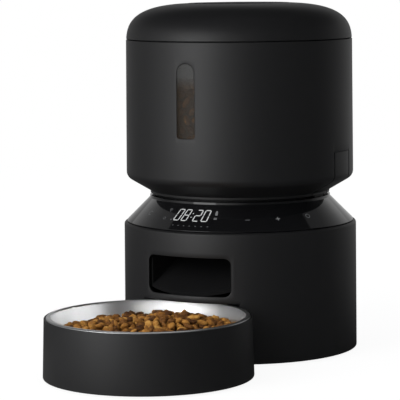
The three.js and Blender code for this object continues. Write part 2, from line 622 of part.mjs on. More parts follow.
const bead = { inner: 2.2, drop: 4.4, height: 1.8, rise: 2.2 };
const innerSteps = 2;
const lowerEdge = [lipR, lipZ + tank.lip];
const tanUnder = Math.tan(tank.underslope);
const cornerZ = lipZ + tank.lip + (tankLowR - lipR) * tanUnder;
const wallR = (z) => tankTopR + ((tankLowR - tankTopR) * (tankTopZ - z)) / (tankTopZ - cornerZ);
const underInner = (r) => lowerEdge[1] + tank.wall / Math.cos(tank.underslope) + (r - lipR) * tanUnder;
const cornerPoint = [tankLowR, cornerZ];
const innerCorner = [tankLowR - tank.wall, underInner(tankLowR - tank.wall)];
const rimInR = tankTopR - tank.wall;
const beadTopZ = tankTopZ - bead.drop;
const lipInR = lipR - tank.lipWidth;
const tankOutside = [
  lowerEdge,
  ...rounded(lowerEdge, cornerPoint, [tankTopR, tankTopZ], tank.cornerR),
  [tankTopR, tankTopZ],
];
const tankInside = [
  [rimInR, tankTopZ],
  [rimInR, beadTopZ + bead.rise / 2],
  [rimInR - bead.inner, beadTopZ],
  [rimInR - bead.inner, beadTopZ - bead.height],
  [wallR(beadTopZ - bead.height - bead.rise) - tank.wall, beadTopZ - bead.height - bead.rise],
  ...rounded(
    [rimInR, tankTopZ], innerCorner, [lipInR, underInner(lipInR)], tank.cornerR - tank.wall, innerSteps),
  [lipInR, underInner(lipInR)],
];
const tankWall = revolve([[lipInR, lipZ], [lipR, lipZ], ...tankOutside, ...tankInside], turns.shell);
const windowShape = (grow) => roundedRect(viewport.width + 2 * grow, windowZ - grow,
  viewport.height + 2 * grow, viewport.cornerR + Math.max(grow, 0), viewport.width / 2 + grow);
const windowSteps = 5;
const flapOpening = block([0, tankLowR + past], about(0, flap.width + 2 * flap.slit), [0, flapTopZ]);
addPiece(tower, 'tank_shell', cut(
  tankWall,
  prismAlongY(windowShape(0), -tankLowR - past, 0, windowSteps),
  flapOpening,
  turned(flapOpening, Math.PI),
), satinBlack);

const lens = { flange: 2.4, thick: 1.4, sink: 0.3 };
const bandZ = windowZ - tank.cornerR;
const cone = (rAt, z0, z1) => revolve([[0, z0], [rAt(z0), z0], [rAt(z1), z1], [0, z1]], turns.shell);
const ringBand = (outR, inR) => cut(cone(outR, bandZ, tankTopZ), cone(inR, bandZ - past, tankTopZ + past));
const lensOutR = (z) => wallR(z) - tank.wall - gap;
addPiece(tower, 'tank_window', join(
  ringBand((z) => wallR(z) - lens.sink, (z) => lensOutR(z) - lens.thick).intersect(
    prismAlongY(windowShape(-gap), -tankLowR - past, 0, windowSteps)),
  ringBand(lensOutR, (z) => lensOutR(z) - lens.thick).intersect(
    prismAlongY(windowShape(lens.flange), -tankLowR - past, 0, windowSteps)),
), smokedClear);

// Release flaps: the wall's own section with a latch hook that reaches down past the control ring

const hookBody = join(
  block([hookR, hookOutR], about(0, hook.width), [deckTopZ + 2 * gap, underInner(lipR)]),
  block([hookR, hookOutR + hook.nose], about(0, hook.width),
    [deckTopZ + 2 * gap, deckTopZ + 2 * gap + hook.noseZ]),
  block([hookR, lipInR + hook.nose], about(0, hook.width), [lipZ, underInner(lipInR)]));
const flapBody = join(
  tankWall.intersect(block([0, tankLowR + past], about(0, flap.width), [0, flapTopZ - gap])), hookBody);
addPiece(tower, 'release_flap_right', flapBody, satinBlack);
addPiece(tower, 'release_flap_left', turned(flapBody, Math.PI), satinBlack);

// Hopper funnel: funnel walls, the dosing chamber and the spigot that stands in the collar

const funnel = { underWindow: 5.3, rim: 1.35, wall: 2.2, seat: 11, seatThick: 1.9, notch: 2.4 };
const chamberR = spigotR - spigot.wall;
const chamberZ = spigotZ + spigot.floor;
const rotorZ = chamberZ + slack;
const coverZ = rotorZ + rotor.height + slack + gap;
const funnelTopZ = windowZ - funnel.underWindow;
const funnelOutR = wallR(funnelTopZ) - tank.wall - gap;
const funnelInR = funnelOutR - funnel.rim;
const funnelRun = new THREE.Vector2(funnelInR - chamberR, funnelTopZ - coverZ);
const funnelThick = (funnel.wall * funnelRun.length()) / funnelRun.y;
const funnelOutZ = coverZ + ((funnelOutR - funnelThick - chamberR) / funnelRun.x) * funnelRun.y;
const seatR = spigotR + funnel.seat;
const seatZ = (r) => underInner(r) + slack / Math.cos(tank.underslope);
const funnelNotches = aroundAxis(block(
  [spigotR + funnel.notch / 4, tankLowR],
  about(0, flap.width + 2 * funnel.notch),
  [lipZ, seatZ(seatR) + funnel.seatThick + gap]), 2);
addPiece(tower, 'hopper_funnel', cut(
  revolve([
    [rotor.journalR + slack, spigotZ],
    [spigotR, spigotZ],
    [spigotR, seatZ(spigotR)],
    [seatR, seatZ(seatR)],
    [seatR, seatZ(seatR) + funnel.seatThick],
    [chamberR + funnelThick, seatZ(seatR) + funnel.seatThick],
    [funnelOutR, funnelOutZ],
    [funnelOutR, funnelTopZ],
    [funnelInR, funnelTopZ],
    [chamberR, coverZ],
    [chamberR, chamberZ],
    [rotor.journalR + slack, chamberZ],
  ], turns.shell),
  sector(drop.innerR, dropR, -drop.half, drop.half, spigotZ - past, chamberZ + past, drop.steps),
  ...funnelNotches,
), innerPlastic);

const cover = { thick: 2, half: 40 * deg, innerR: 15, steps: 6 };
addPiece(tower, 'portion_cover', sector(
  cover.innerR, chamberR - gap, -cover.half, cover.half, coverZ, coverZ + cover.thick, cover.steps,
), innerPlastic);

// Dosing rotor: a domed hub with swept paddles, driven through a hexagon socket from below

const rotorR = chamberR - 2 * gap;
const hub = { shoulder: 6.7, coneZ: 16.7, coneR: 9, neckZ: 20.4, capR: 5, capZ: 28 };
const socket = { gap: 0.4, roof: 0.6 };
const stubZ = deckTopZ + 2 * gap;
function paddle(i) {
  const at = (r, side) => {
    const a = (i * fullTurn) / rotor.blades + rotor.sweep * (r / rotorR) ** 2;
    const along = new THREE.Vector2(Math.cos(a), Math.sin(a));
    const across = new THREE.Vector2(-along.y, along.x).multiplyScalar((side * rotor.bladeThick) / 2);
    return [r * along.x + across.x, r * along.y + across.y];
  };
  const reach = Math.sqrt(rotorR ** 2 - rotor.bladeThick ** 2);
  const span = reach - rotor.hubR;
  const stations = [rotor.hubR / 2, rotor.hubR + span / 2, reach - span / 4, reach];
  const outline = [...stations.map((r) => at(r, -1)), ...[...stations].reverse().map((r) => at(r, 1))];
  return prism(shapeOf(outline), rotorZ, rotorZ + rotor.height);
}
addPiece(tower, 'dosing_rotor', cut(
  join(
    revolve([
      [0, stubZ], [rotor.journalR, stubZ], [rotor.journalR, rotorZ], [rotor.hubR, rotorZ],
      [rotor.hubR, rotorZ + hub.shoulder], [hub.coneR, rotorZ + hub.coneZ],
      [hub.capR, rotorZ + hub.neckZ], [hub.capR, rotorZ + hub.capZ], [0, rotorZ + hub.capZ],
    ], turns.small),
    ...times(rotor.blades, paddle)),
  hexPrism(shaft.dogR + socket.gap, stubZ - past, dogTopZ + socket.roof),
), acetal);

// Stirrer: a soft collar on the hub's neck with three fingers that loosen the food

const stirrer = {
  r: 8.4, height: 5, fingers: 3, length: 34, bendShare: 0.6, rise: 12, thick: 2.4, steps: 5, sides: 6,
};
const stirZ = rotorZ + hub.neckZ + gap;
function finger() {
  const rootZ = stirZ + stirrer.height / 2;
  const extrudePath = new THREE.CatmullRomCurve3([
    new THREE.Vector3(hub.capR + stirrer.thick, 0, rootZ),
    new THREE.Vector3(stirrer.length * stirrer.bendShare, 0, rootZ),
    new THREE.Vector3(stirrer.length, 0, rootZ + stirrer.rise),
  ]);
  const section = shapeOf(times(stirrer.sides, (i) => {
    const a = (i * fullTurn) / stirrer.sides;
    return [(stirrer.thick / 2) * Math.cos(a), (stirrer.thick / 2) * Math.sin(a)];
  }));
  const { steps } = stirrer;
  return solidOf(new THREE.ExtrudeGeometry(section, { extrudePath, steps, bevelEnabled: false }));
}
addPiece(tower, 'stirrer', cut(
  join(
    disc(stirrer.r, stirZ, stirZ + stirrer.height, turns.small),
    ...aroundAxis(finger(), stirrer.fingers)),
  disc(hub.capR + gap, stirZ - past, stirZ + stirrer.height + past, turns.small)), silicone);

// Lid shell: a dome on a rounded-square arc with a round pocket for the knob

const domeSteps = { outer: 8, inner: 5 };
const dome = (inset, steps, fromZ, toR) => {
  const startZ = lidFootZ - lid.startDrop;
  const [flatR, sideR] = [lid.flatR - inset, tankTopR - inset];
  const tall = lidTopZ - inset - startZ;
  const at = (t) => [
    flatR + (sideR - flatR) * Math.cos(t) ** (2 / lid.sidePower),
    startZ + tall * Math.sin(t) ** (2 / lid.topPower),
  ];
  const t0 = Math.asin(((fromZ - startZ) / tall) ** (lid.topPower / 2));
  const t1 = Math.acos(((toR - flatR) / (sideR - flatR)) ** (lid.sidePower / 2));
  return times(steps + 1, (i) => at(t0 + ((t1 - t0) * i) / steps));
};
const pocketR = knob.r + slack;
const knobZ = lidTopZ - knob.depth;
const pocketZ = knobZ - gap;
const outerDome = dome(0, domeSteps.outer, lidFootZ, pocketR);
const innerDome = dome(lid.wall, domeSteps.inner, lidFootZ, pocketR + lid.wall);
addPiece(tower, 'lid_shell', revolve([
  ...outerDome,
  [pocketR, pocketZ],
  [knob.stemR + slack, pocketZ],
  [knob.stemR + slack, pocketZ - lid.wall],
  [pocketR + lid.wall, pocketZ - lid.wall],
  ...[...innerDome].reverse(),
], turns.shell), satinBlack);

// Lid plug: the cup that drops into the tank, with windows and guides for the four bolts

const plug = { in: 5.4, wall: 2.2, floor: 2.2, depth: 13.05, flange: 2.2, seat: 0.95, bossR: 5 };
const bolt = {
  count: 4, width: 12, height: 3.4, pinR: 2.2, pinAt: 46, behindPin: 4.5, travel: 3.4, turn: 60 * deg,
  firstAt: 45 * deg, guide: 2, guideIn: 6.6, guideLength: 20,
};
const plugR = tankTopR - plug.in;
const plugZ = tankTopZ - plug.depth;
const plugFloorZ = plugZ + plug.floor;
const boltZ = plugFloorZ + gap;
const camZ = boltZ + bolt.height + 2 * gap;
const cam = { thick: 2, rim: 8, pastEnd: 3 * deg, steps: 7 };
const flangeBottomZ = tankTopZ + plug.seat;
const [domeFoot, domeNext] = innerDome;
const domeLean = (domeFoot[0] - domeNext[0]) / (domeNext[1] - domeFoot[1]);
const flangeR = domeFoot[0] - gap - (flangeBottomZ + plug.flange - domeFoot[1]) * domeLean;
const stemEndZ = camZ - gap;
const atBolts = (body) => aroundAxis(turned(body, bolt.firstAt), bolt.count);
const boltTopZ = boltZ + bolt.height;
const boltWindow = block(
  [plugR - 2 * plug.wall, plugR + past], about(0, bolt.width + 2 * slack), [plugFloorZ, boltTopZ + slack]);
const guideY = bolt.width / 2 + slack + bolt.guide / 2;
const guides = [-guideY, guideY].map((y) => block(
  [plugR - bolt.guideIn - bolt.guideLength, plugR - bolt.guideIn],
  about(y, bolt.guide),
  [plugZ + plug.floor / 2, boltTopZ]));
addPiece(tower, 'lid_plug', cut(
  join(
    revolve([
      [0, plugZ], [plugR, plugZ], [plugR, flangeBottomZ], [flangeR, flangeBottomZ],
      [flangeR, flangeBottomZ + plug.flange], [plugR - plug.wall, flangeBottomZ + plug.flange],
      [plugR - plug.wall, plugFloorZ], [0, plugFloorZ],
    ], turns.shell),
    disc(plug.bossR, plugZ + plug.floor / 2, stemEndZ - gap, turns.pin),
    ...atBolts(join(...guides))),
  ...atBolts(boltWindow),
), innerPlastic);

const seal = { height: 2.8, lip: 1.1 };
const sealZ = beadTopZ + bead.rise / 2 - gap;
addPiece(tower, 'lid_seal', revolve([
  [plugR + gap, sealZ],
  [rimInR - gap, sealZ + seal.height / 2],
  [plugR + gap + seal.lip, sealZ + seal.height],
  [plugR + gap, sealZ + seal.height],
], turns.shell), silicone);

// Twist knob with two finger pockets, and the cam plate whose spiral slots drive the bolts

const grip = { bar: 17, rim: 5.9, cornerSteps: 7, chamfer: 0.8 };
const gripR = knob.r - grip.rim;
const fingerPocket = (side) => {
  const half = Math.asin(grip.bar / 2 / gripR);
  const arc = times(grip.cornerSteps + 1, (i) => {
    const a = half + ((Math.PI - 2 * half) * i) / grip.cornerSteps;
    return [gripR * Math.cos(a), side * gripR * Math.sin(a)];
  });
  return prism(shapeOf(side > 0 ? arc : arc.reverse()), knobZ + knob.floor, lidTopZ + past);
};
addPiece(tower, 'lid_knob', cut(
  join(
    revolve([
      [0, knobZ], [knob.r, knobZ], [knob.r, lidTopZ - grip.chamfer],
      [knob.r - grip.chamfer, lidTopZ], [0, lidTopZ],
    ], turns.plate),
    disc(knob.stemR, camZ + cam.thick + gap, knobZ + knob.floor / 2, turns.small),
    block(about(0, knob.square), about(0, knob.square), [stemEndZ, camZ + cam.thick + 2 * gap])),
  fingerPocket(1),
  fingerPocket(-1),
), satinBlack);

// A slot whose radius grows by the bolt's travel while the knob makes its turn, past both ends by pastEnd
const camCut = [camZ - past, camZ + cam.thick + past];
const pinSlotR = bolt.pinR + slack;
const leadPerRadian = bolt.travel / bolt.turn;
function spiralSlot() {
  const line = times(cam.steps + 1, (i) => {
    const t = -cam.pastEnd + ((bolt.turn + 2 * cam.pastEnd) * i) / cam.steps;
    return [t, bolt.pinAt + leadPerRadian * t];
  });
  const edge = (offset) => line.map(([a, r]) => [(r + offset) * Math.cos(a), (r + offset) * Math.sin(a)]);
  return prism(shapeOf([...edge(pinSlotR), ...edge(-pinSlotR).reverse()]), ...camCut);
}
addPiece(tower, 'cam_plate', cut(
  disc(bolt.pinAt + cam.rim, camZ, camZ + cam.thick, turns.plate),
  block(about(0, knob.square + 2 * gap), about(0, knob.square + 2 * gap), camCut),
  ...atBolts(spiralSlot()),
), acetal);

// A bolt that is out reaches almost to the tank's wall, and its nose leans as the bead over it does
const facetShare = Math.cos(Math.PI / turns.shell);
const boltReach = rimInR * facetShare - gap;
const beadUnderR = (z) => (
  rimInR - bead.inner + ((beadTopZ - bead.height - z) * bead.inner) / bead.rise);
const boltTopReach = Math.min(boltReach, beadUnderR(boltTopZ) * facetShare - slack);
const noseDrop = ((boltReach - boltTopReach) * bead.rise) / bead.inner;
const boltEnd = (reach) => Math.sqrt(reach ** 2 - (bolt.width / 2) ** 2) - bolt.travel;
const boltBody = join(
  prismAlongY(shapeOf([
    [bolt.pinAt - bolt.behindPin, boltZ],
    [boltEnd(boltReach), boltZ],
    [boltEnd(boltReach), boltTopZ - noseDrop],
    [boltEnd(boltTopReach), boltTopZ],
    [bolt.pinAt - bolt.behindPin, boltTopZ],
  ]), -bolt.width / 2, bolt.width / 2),
  disc(bolt.pinR, boltZ + bolt.height / 2, camZ + cam.thick, turns.pin, bolt.pinAt, 0));
atBolts(boltBody).forEach((body, i) => addPiece(tower, `lid_bolt_${i + 1}`, body, acetal));

// Desiccant cage under the lid plug

const cage = { r: 34, depth: 17.7, wall: 1.6, vents: 10, ventWidth: 3, ventFrom: 14, ventRim: 7 };
const cageZ = plugZ - gap - cage.depth;
const vent = block(
  [cage.ventFrom, cage.r - cage.ventRim],
  about(0, cage.ventWidth),
  [cageZ - past, cageZ + cage.wall + past]);
addPiece(tower, 'desiccant_cage', cut(
  revolve(thickened([[0, cageZ], [cage.r, cageZ], [cage.r, cageZ + cage.depth]], cage.wall), turns.plate),
  ...aroundAxis(vent, cage.vents),
), innerPlastic);

// Bowl holder: a tapered cup with a stepped rim, and the tongue that plugs into the tower

const cup = { rim: 1.05, ledgeDrop: 2.2, ledge: 1.5, skirt: 2.4, floor: 2.4, floorZ: 3.8, edge: 0.5 };
const holderOutR = (z) => holder.footR - (holder.taper * (z - floorGap)) / (holder.rimZ - floorGap);
const holderRimR = holder.footR - holder.taper;
const ledgeZ = holder.rimZ - cup.ledgeDrop;
const seatInR = holderRimR - cup.rim;
const ledgeInR = seatInR - cup.ledge;
addPiece(dish, 'bowl_holder', join(
  revolve([
    [0, cup.floorZ],
    [holder.footR - cup.skirt, cup.floorZ],
    [holder.footR - cup.skirt, floorGap],
    [holder.footR, floorGap],
    [holderOutR(holder.rimZ - cup.edge), holder.rimZ - cup.edge],
    [holderRimR - cup.edge, holder.rimZ],
    [seatInR, holder.rimZ],
    [seatInR, ledgeZ],
    [ledgeInR, ledgeZ],
    [holderOutR(cup.floorZ) - holder.wall, cup.floorZ + cup.floor],
    [0, cup.floorZ + cup.floor],
  ], turns.bowl),
  block(about(0, tongue.width), [holder.footR - tongue.root, holder.footR + tongue.length],
    [tongue.z, tongue.z + tongue.thick]),
), satinBlack);

// Steel bowl: flat floor, steep wall and a rolled rim that hangs on the holder's step

const rimSeatZ = ledgeZ + gap;
const rimOutR = seatInR - slack;
const bowlFloorR = ledgeInR - bowl.floorIn;
const steelLine = [
  [0, bowl.floorZ - bowl.sheet],
  [bowlFloorR, bowl.floorZ - bowl.sheet],
  [bowlFloorR + bowl.coveRun, bowl.floorZ + bowl.coveRise],
  [ledgeInR - bowl.neckIn, rimSeatZ - bowl.neckDrop],
  [ledgeInR - bowl.seatIn, rimSeatZ],
];
const sheetLine = thickened(steelLine, bowl.sheet);
addPiece(dish, 'steel_bowl', revolve([
  ...steelLine,
  [rimOutR, rimSeatZ],
  [rimOutR, rimSeatZ + bowl.roll / 2],
  [rimOutR - bowl.roll / 4, rimSeatZ + bowl.roll],
  [rimOutR - bowl.roll, rimSeatZ + bowl.roll],
  ...sheetLine.slice(steelLine.length),
], turns.bowl), steel);

const pad = { r: 6, in: 22.8, frontTurn: 45 * deg, rearTurn: 135 * deg };
addPads(dish, 'holder_pad', pad.r, cup.floorZ - gap, holder.footR - pad.in, pad.frontTurn, pad.rearTurn);

export default feeder;
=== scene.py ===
import bpy
import bmesh
import json
import random
from math import acos, asin, cos, hypot, pi, radians, sin, sqrt, tan
from mathutils import Matrix, Vector


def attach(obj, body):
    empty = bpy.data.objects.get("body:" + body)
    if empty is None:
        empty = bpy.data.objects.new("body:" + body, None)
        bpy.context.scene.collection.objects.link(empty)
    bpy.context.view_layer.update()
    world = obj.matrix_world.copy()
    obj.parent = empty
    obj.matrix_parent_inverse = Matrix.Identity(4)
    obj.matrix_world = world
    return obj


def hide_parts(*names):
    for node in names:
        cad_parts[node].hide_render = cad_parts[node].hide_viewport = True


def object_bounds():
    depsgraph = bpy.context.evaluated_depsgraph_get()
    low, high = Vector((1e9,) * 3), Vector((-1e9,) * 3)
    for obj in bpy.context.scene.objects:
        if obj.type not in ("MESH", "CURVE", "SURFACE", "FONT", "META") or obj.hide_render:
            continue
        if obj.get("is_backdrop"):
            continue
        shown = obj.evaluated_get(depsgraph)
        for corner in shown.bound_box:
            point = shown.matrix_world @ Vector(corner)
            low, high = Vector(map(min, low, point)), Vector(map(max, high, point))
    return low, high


# Round dry-food feeder, dressed over its CAD frame. Sizes are in millimetres, those of the floor, cards and
# lamps in metres.
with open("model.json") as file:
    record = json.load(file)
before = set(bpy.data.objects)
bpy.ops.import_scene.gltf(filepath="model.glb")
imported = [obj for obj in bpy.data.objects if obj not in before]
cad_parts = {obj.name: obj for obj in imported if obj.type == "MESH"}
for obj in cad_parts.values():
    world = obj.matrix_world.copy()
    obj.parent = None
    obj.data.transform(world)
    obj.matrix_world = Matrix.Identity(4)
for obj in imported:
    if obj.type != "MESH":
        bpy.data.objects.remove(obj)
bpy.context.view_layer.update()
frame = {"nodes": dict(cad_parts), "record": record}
nodes = frame["nodes"]
random.seed(20)

mm = 0.001
towerY = 69.85   # the tower's axis, from the middle of the footprint
bowlY = towerY - 154.4   # the bowl's axis
outside = 96.0   # from the tower's axis to beyond its wall, where the cuts end
touching = 1e-6   # metres: points this near each other are one


# modelling helpers

def deselectAll():
    if bpy.context.object and bpy.context.object.mode != "OBJECT":
        bpy.ops.object.mode_set(mode="OBJECT")
    bpy.ops.object.select_all(action="DESELECT")


def pick(piece):
    deselectAll()
    piece.select_set(True)
    bpy.context.view_layer.objects.active = piece


def named(name):
    piece = bpy.context.active_object
    piece.name = name
    piece.data.name = name
    return piece


def editAll():
    bpy.ops.object.mode_set(mode="EDIT")
    bpy.ops.mesh.select_all(action="SELECT")


def editDone():
    # all faces turned outwards, then back to object mode
    bpy.ops.mesh.select_all(action="SELECT")
    bpy.ops.mesh.normals_make_consistent(inside=False)
    bpy.ops.object.mode_set(mode="OBJECT")


def softened(points, steps=5):
    # a profile's corners (r, z, radius) drawn as small arcs
    out = []
    count = len(points)
    for i, point in enumerate(points):
        radius = point[2] if len(point) > 2 else 0
        here = Vector(point[:2])
        if radius <= 0:
            out.append(tuple(here))
            continue
        before = (Vector(points[i - 1][:2]) - here).normalized()
        after = (Vector(points[(i + 1) % count][:2]) - here).normalized()
        half = before.angle(after) / 2
        centre = here + (before + after).normalized() * (radius / sin(half))
        start = here + before * (radius / tan(half)) - centre
        end = here + after * (radius / tan(half)) - centre
        turn = start.angle_signed(end)
        for k in range(steps + 1):
            arm = start.copy()
            arm.rotate(Matrix.Rotation(-turn * k / steps, 2))
            out.append(tuple(centre + arm))
    return out


def outlined(name, places, fill="NOTHING"):
    # a circle with as many corners, laid on the places
    deselectAll()
    bpy.ops.mesh.primitive_circle_add(vertices=len(places), radius=0.01, fill_type=fill, location=(0, 0, 0))
    piece = named(name)
    for vertex, place in zip(piece.data.vertices, places):
        vertex.co = place
    editAll()
    return piece


def turned(name, profile, axisY, steps=192):
    # a closed profile placed in the side plane, then spun once round its axis
    piece = outlined(name, [(r * mm, axisY * mm, z * mm) for r, z in profile])
    bpy.ops.mesh.spin(steps=steps, angle=2 * pi, center=(0, axisY * mm, 0), axis=(0, 0, 1))
    bpy.ops.mesh.select_all(action="SELECT")
    bpy.ops.mesh.remove_doubles(threshold=2 * touching)
    bpy.ops.mesh.dissolve_degenerate(threshold=touching)
    bpy.ops.mesh.delete_loose(use_faces=False)
    editDone()
    return piece


def slab(name, corners, depth, axis, radii=(0, 0, 0, 0)):
    # a four-cornered plate with rounded corners, pushed through by depth along one axis
    deselectAll()
    bpy.ops.mesh.primitive_plane_add(size=1, location=(0, 0, 0))
    piece = named(name)
    places = [Vector(c) * mm for c in corners]
    mesh = piece.data
    ring = list(mesh.polygons[0].vertices)
    for index, place in zip(ring, places):
        mesh.vertices[index].co = place
    for radius, place in zip(radii, places):
        if radius <= 0:
            continue
        bpy.ops.object.mode_set(mode="EDIT")
        bpy.ops.mesh.select_all(action="DESELECT")
        bpy.ops.object.mode_set(mode="OBJECT")
        for vertex in mesh.vertices:
            vertex.select = (vertex.co - place).length < touching
        bpy.ops.object.mode_set(mode="EDIT")
        bpy.ops.mesh.bevel(offset_type="OFFSET", offset=radius * mm, segments=8, affect="VERTICES")
    editAll()
    bpy.ops.mesh.extrude_region_move(TRANSFORM_OT_translate={"value": tuple(Vector(axis) * depth * mm)})
    bpy.ops.mesh.select_all(action="SELECT")
    bpy.ops.mesh.remove_doubles(threshold=touching)
    editDone()
    return piece


def roundTower(angle, r, z=0.0):
    # a place round the tower's axis, by angle from the front
    return Vector((r * sin(angle), towerY - r * cos(angle), z))


def upright(name, width, bottom, top, radii, y0=towerY - outside, y1=towerY):
    # a plate that faces the front, by default from before the tower's wall to its axis
    half = width / 2
    corners = [(-half, y0, bottom), (half, y0, bottom), (half, y0, top), (-half, y0, top)]
    return slab(name, corners, y1 - y0, (0, 1, 0), radii)


def about(middle, half):
    return middle - half, middle + half


def brick(name, x, y, z):
    corners = [(x[0], y[0], z[0]), (x[1], y[0], z[0]), (x[1], y[1], z[0]), (x[0], y[1], z[0])]
    return slab(name, corners, z[1] - z[0], (0, 0, 1))


def drum(name, r, z0, z1, x, y, sides):
    deselectAll()
    bpy.ops.mesh.primitive_circle_add(vertices=sides, radius=r * mm, fill_type="NGON",
                                      location=(x * mm, y * mm, z0 * mm))
    piece = named(name)
    editAll()
    bpy.ops.mesh.extrude_region_move(TRANSFORM_OT_translate={"value": (0, 0, (z1 - z0) * mm)})
    editDone()
    return settle(piece)


def settle(piece):
    # the object goes to the origin and its place into its mesh
    pick(piece)
    bpy.ops.object.transform_apply(location=True, rotation=True, scale=True)
    return piece


def copied(piece, name):
    pick(piece)
    bpy.ops.object.duplicate(linked=False)
    return named(name)


def shaped(piece, tool, how="DIFFERENCE"):
    pick(piece)
    change = piece.modifiers.new("shape", "BOOLEAN")
    change.operation = how
    change.solver = "EXACT"
    change.object = tool
    bpy.ops.object.modifier_apply(modifier="shape")
    bpy.data.objects.remove(tool, do_unlink=True)


def eased(piece, width, segments=2, angle=50):
    # small rounds on the sharp edges that the cuts leave
    pick(piece)
    change = piece.modifiers.new("ease", "BEVEL")
    change.width = width * mm
    change.segments = segments
    change.limit_method = "ANGLE"
    change.angle_limit = radians(angle)
    change.use_clamp_overlap = False
    change.miter_outer = "MITER_ARC"
    bpy.ops.object.modifier_apply(modifier="ease")


def joined(name, pieces):
    deselectAll()
    for piece in pieces:
        piece.select_set(True)
    bpy.context.view_layer.objects.active = pieces[0]
    bpy.ops.object.join()
    return named(name)


# materials

class Wire:
    def __init__(self, look, socket):
        self.look = look
        self.socket = socket

    def __add__(self, other):
        return self.look.sum("ADD", self, other)

    def __sub__(self, other):
        return self.look.sum("SUBTRACT", self, other)

    def __rsub__(self, other):
        return self.look.sum("SUBTRACT", other, self)

    def __mul__(self, other):
        return self.look.sum("MULTIPLY", self, other)

    def __truediv__(self, other):
        return self.look.sum("DIVIDE", self, other)

    def __rtruediv__(self, other):
        return self.look.sum("DIVIDE", other, self)

    def __gt__(self, other):
        return self.look.sum("GREATER_THAN", self, other)

    __radd__, __rmul__ = __add__, __mul__     # their order doesn't matter


class Sheet:
    def __init__(self, owner):
        owner.use_nodes = True
        self.tree = owner.node_tree

    def add(self, kind, settings=None, sockets=None, out=0):
        node = self.tree.nodes.new(kind)
        for key, value in (settings or {}).items():
            if key == "stops":
                ramp = node.color_ramp
                while len(ramp.elements) < len(value):
                    ramp.elements.new(0.5)
                for element, (place, colour) in zip(ramp.elements, value):
                    element.position = place
                    element.color = (*colour, 1)
            else:
                setattr(node, key, value)
        for key, value in (sockets or {}).items():
            self.plug(node.inputs[key], value)
        return Wire(self, node.outputs[out])

    def plug(self, socket, value):
        if isinstance(value, Wire):
            self.tree.links.new(value.socket, socket)
        else:
            socket.default_value = value

    def sum(self, operation, *values):
        return self.add("ShaderNodeMath", {"operation": operation}, dict(enumerate(values)))

    def axis(self, spot, k):
        return self.add("ShaderNodeSeparateXYZ", {}, {0: spot}, out=k)

    def reach(self, x, y):
        return self.sum("SQRT", x * x + y * y)

    def seen(self):
        # 1 for rays that see the background straight, in gloss or through a clear piece
        straight, gloss, through = [self.add("ShaderNodeLightPath", out=name) for name in
                                    ("Is Camera Ray", "Is Glossy Ray", "Is Transmission Ray")]
        return self.sum("MAXIMUM", self.sum("MAXIMUM", straight, gloss), through)

    def surface(self, output, factor, first, second):
        # the first shader where the factor is 0, the second where it is 1
        both = self.add("ShaderNodeMixShader", {}, {0: factor, 1: first, 2: second})
        self.plug(self.tree.nodes[output].inputs["Surface"], both)


class Look(Sheet):
    def __init__(self, name, **values):
        self.material = bpy.data.materials.new(name)
        super().__init__(self.material)
        self.shader = self.tree.nodes["Principled BSDF"]
        self.spot = self.place()
        for socket, value in values.items():
            self.give(socket.replace("_", " "), value)

    def give(self, socket, value):
        if isinstance(value, tuple) and len(value) == 3:
            value = (*value, 1)
        self.plug(self.shader.inputs[socket], value)

    def place(self, centre=(0, 0, 0), scale=(1, 1, 1)):
        spot = self.add("ShaderNodeTexCoord", out=3)
        moved = tuple(-c * s for c, s in zip(centre, scale))
        return self.add("ShaderNodeMapping", {"vector_type": "POINT"},
                        {"Vector": spot, "Location": moved, "Scale": scale})

    def noise(self, scale, detail=3.0, rough=0.5, where=None):
        return self.add("ShaderNodeTexNoise", {}, {"Vector": where or self.spot, "Scale": scale,
                                                   "Detail": detail, "Roughness": rough})

    def ramp(self, value, *stops):
        return self.add("ShaderNodeValToRGB", {"stops": stops}, {"Fac": value})

    def mix(self, factor, first, second):
        first = (*first, 1) if isinstance(first, tuple) else first
        second = (*second, 1) if isinstance(second, tuple) else second
        return self.add("ShaderNodeMix", {"data_type": "RGBA"}, {0: factor, 6: first, 7: second}, out=2)

    def paint(self, factor, first, second):
        self.give("Base Color", self.mix(factor, first, second))

    def bump(self, height, strength, distance):
        self.give("Normal", self.add("ShaderNodeBump", {}, {
            "Height": height, "Strength": strength, "Distance": distance}))
        return self


def shellBlack():
    # satin moulded shell: eggshell grain, faint flow in the gloss, a slight haze in the colour
    look = Look("shellBlack", IOR=1.46)
    grain = look.noise(1900.0, 2.0, 0.6)
    flow = look.noise(16.0)
    haze = look.noise(160.0, 4.0)
    look.paint(haze * 0.6, (0.0062, 0.0062, 0.0066), (0.0088, 0.0088, 0.0094))
    look.give("Roughness", 0.40 + flow * 0.07 + grain * 0.05)
    return look.bump(grain, 0.10, 0.00012)


def pianoBlack():
    # polished cover over the display: deep black, fine wipe marks in the gloss
    look = Look("pianoBlack", IOR=1.5)
    wipe = look.noise(45.0, 6.0, 0.7, look.place(scale=(1, 1, 6)))
    wave = look.noise(9.0, 1.0)
    look.paint(wipe, (0.0025, 0.0025, 0.0028), (0.0045, 0.0045, 0.0050))
    look.give("Roughness", 0.045 + wipe * 0.05)
    return look.bump(wave, 0.03, 0.002)


def mattInside():
    look = Look("mattInside", Specular_IOR_Level=0.4)
    spark = look.noise(1100.0, 2.0, 0.7)
    flow = look.noise(40.0)
    look.paint(flow, (0.010, 0.010, 0.011), (0.017, 0.017, 0.018))
    look.give("Roughness", 0.55 + spark * 0.12)
    return look.bump(spark, 0.25, 0.00015)


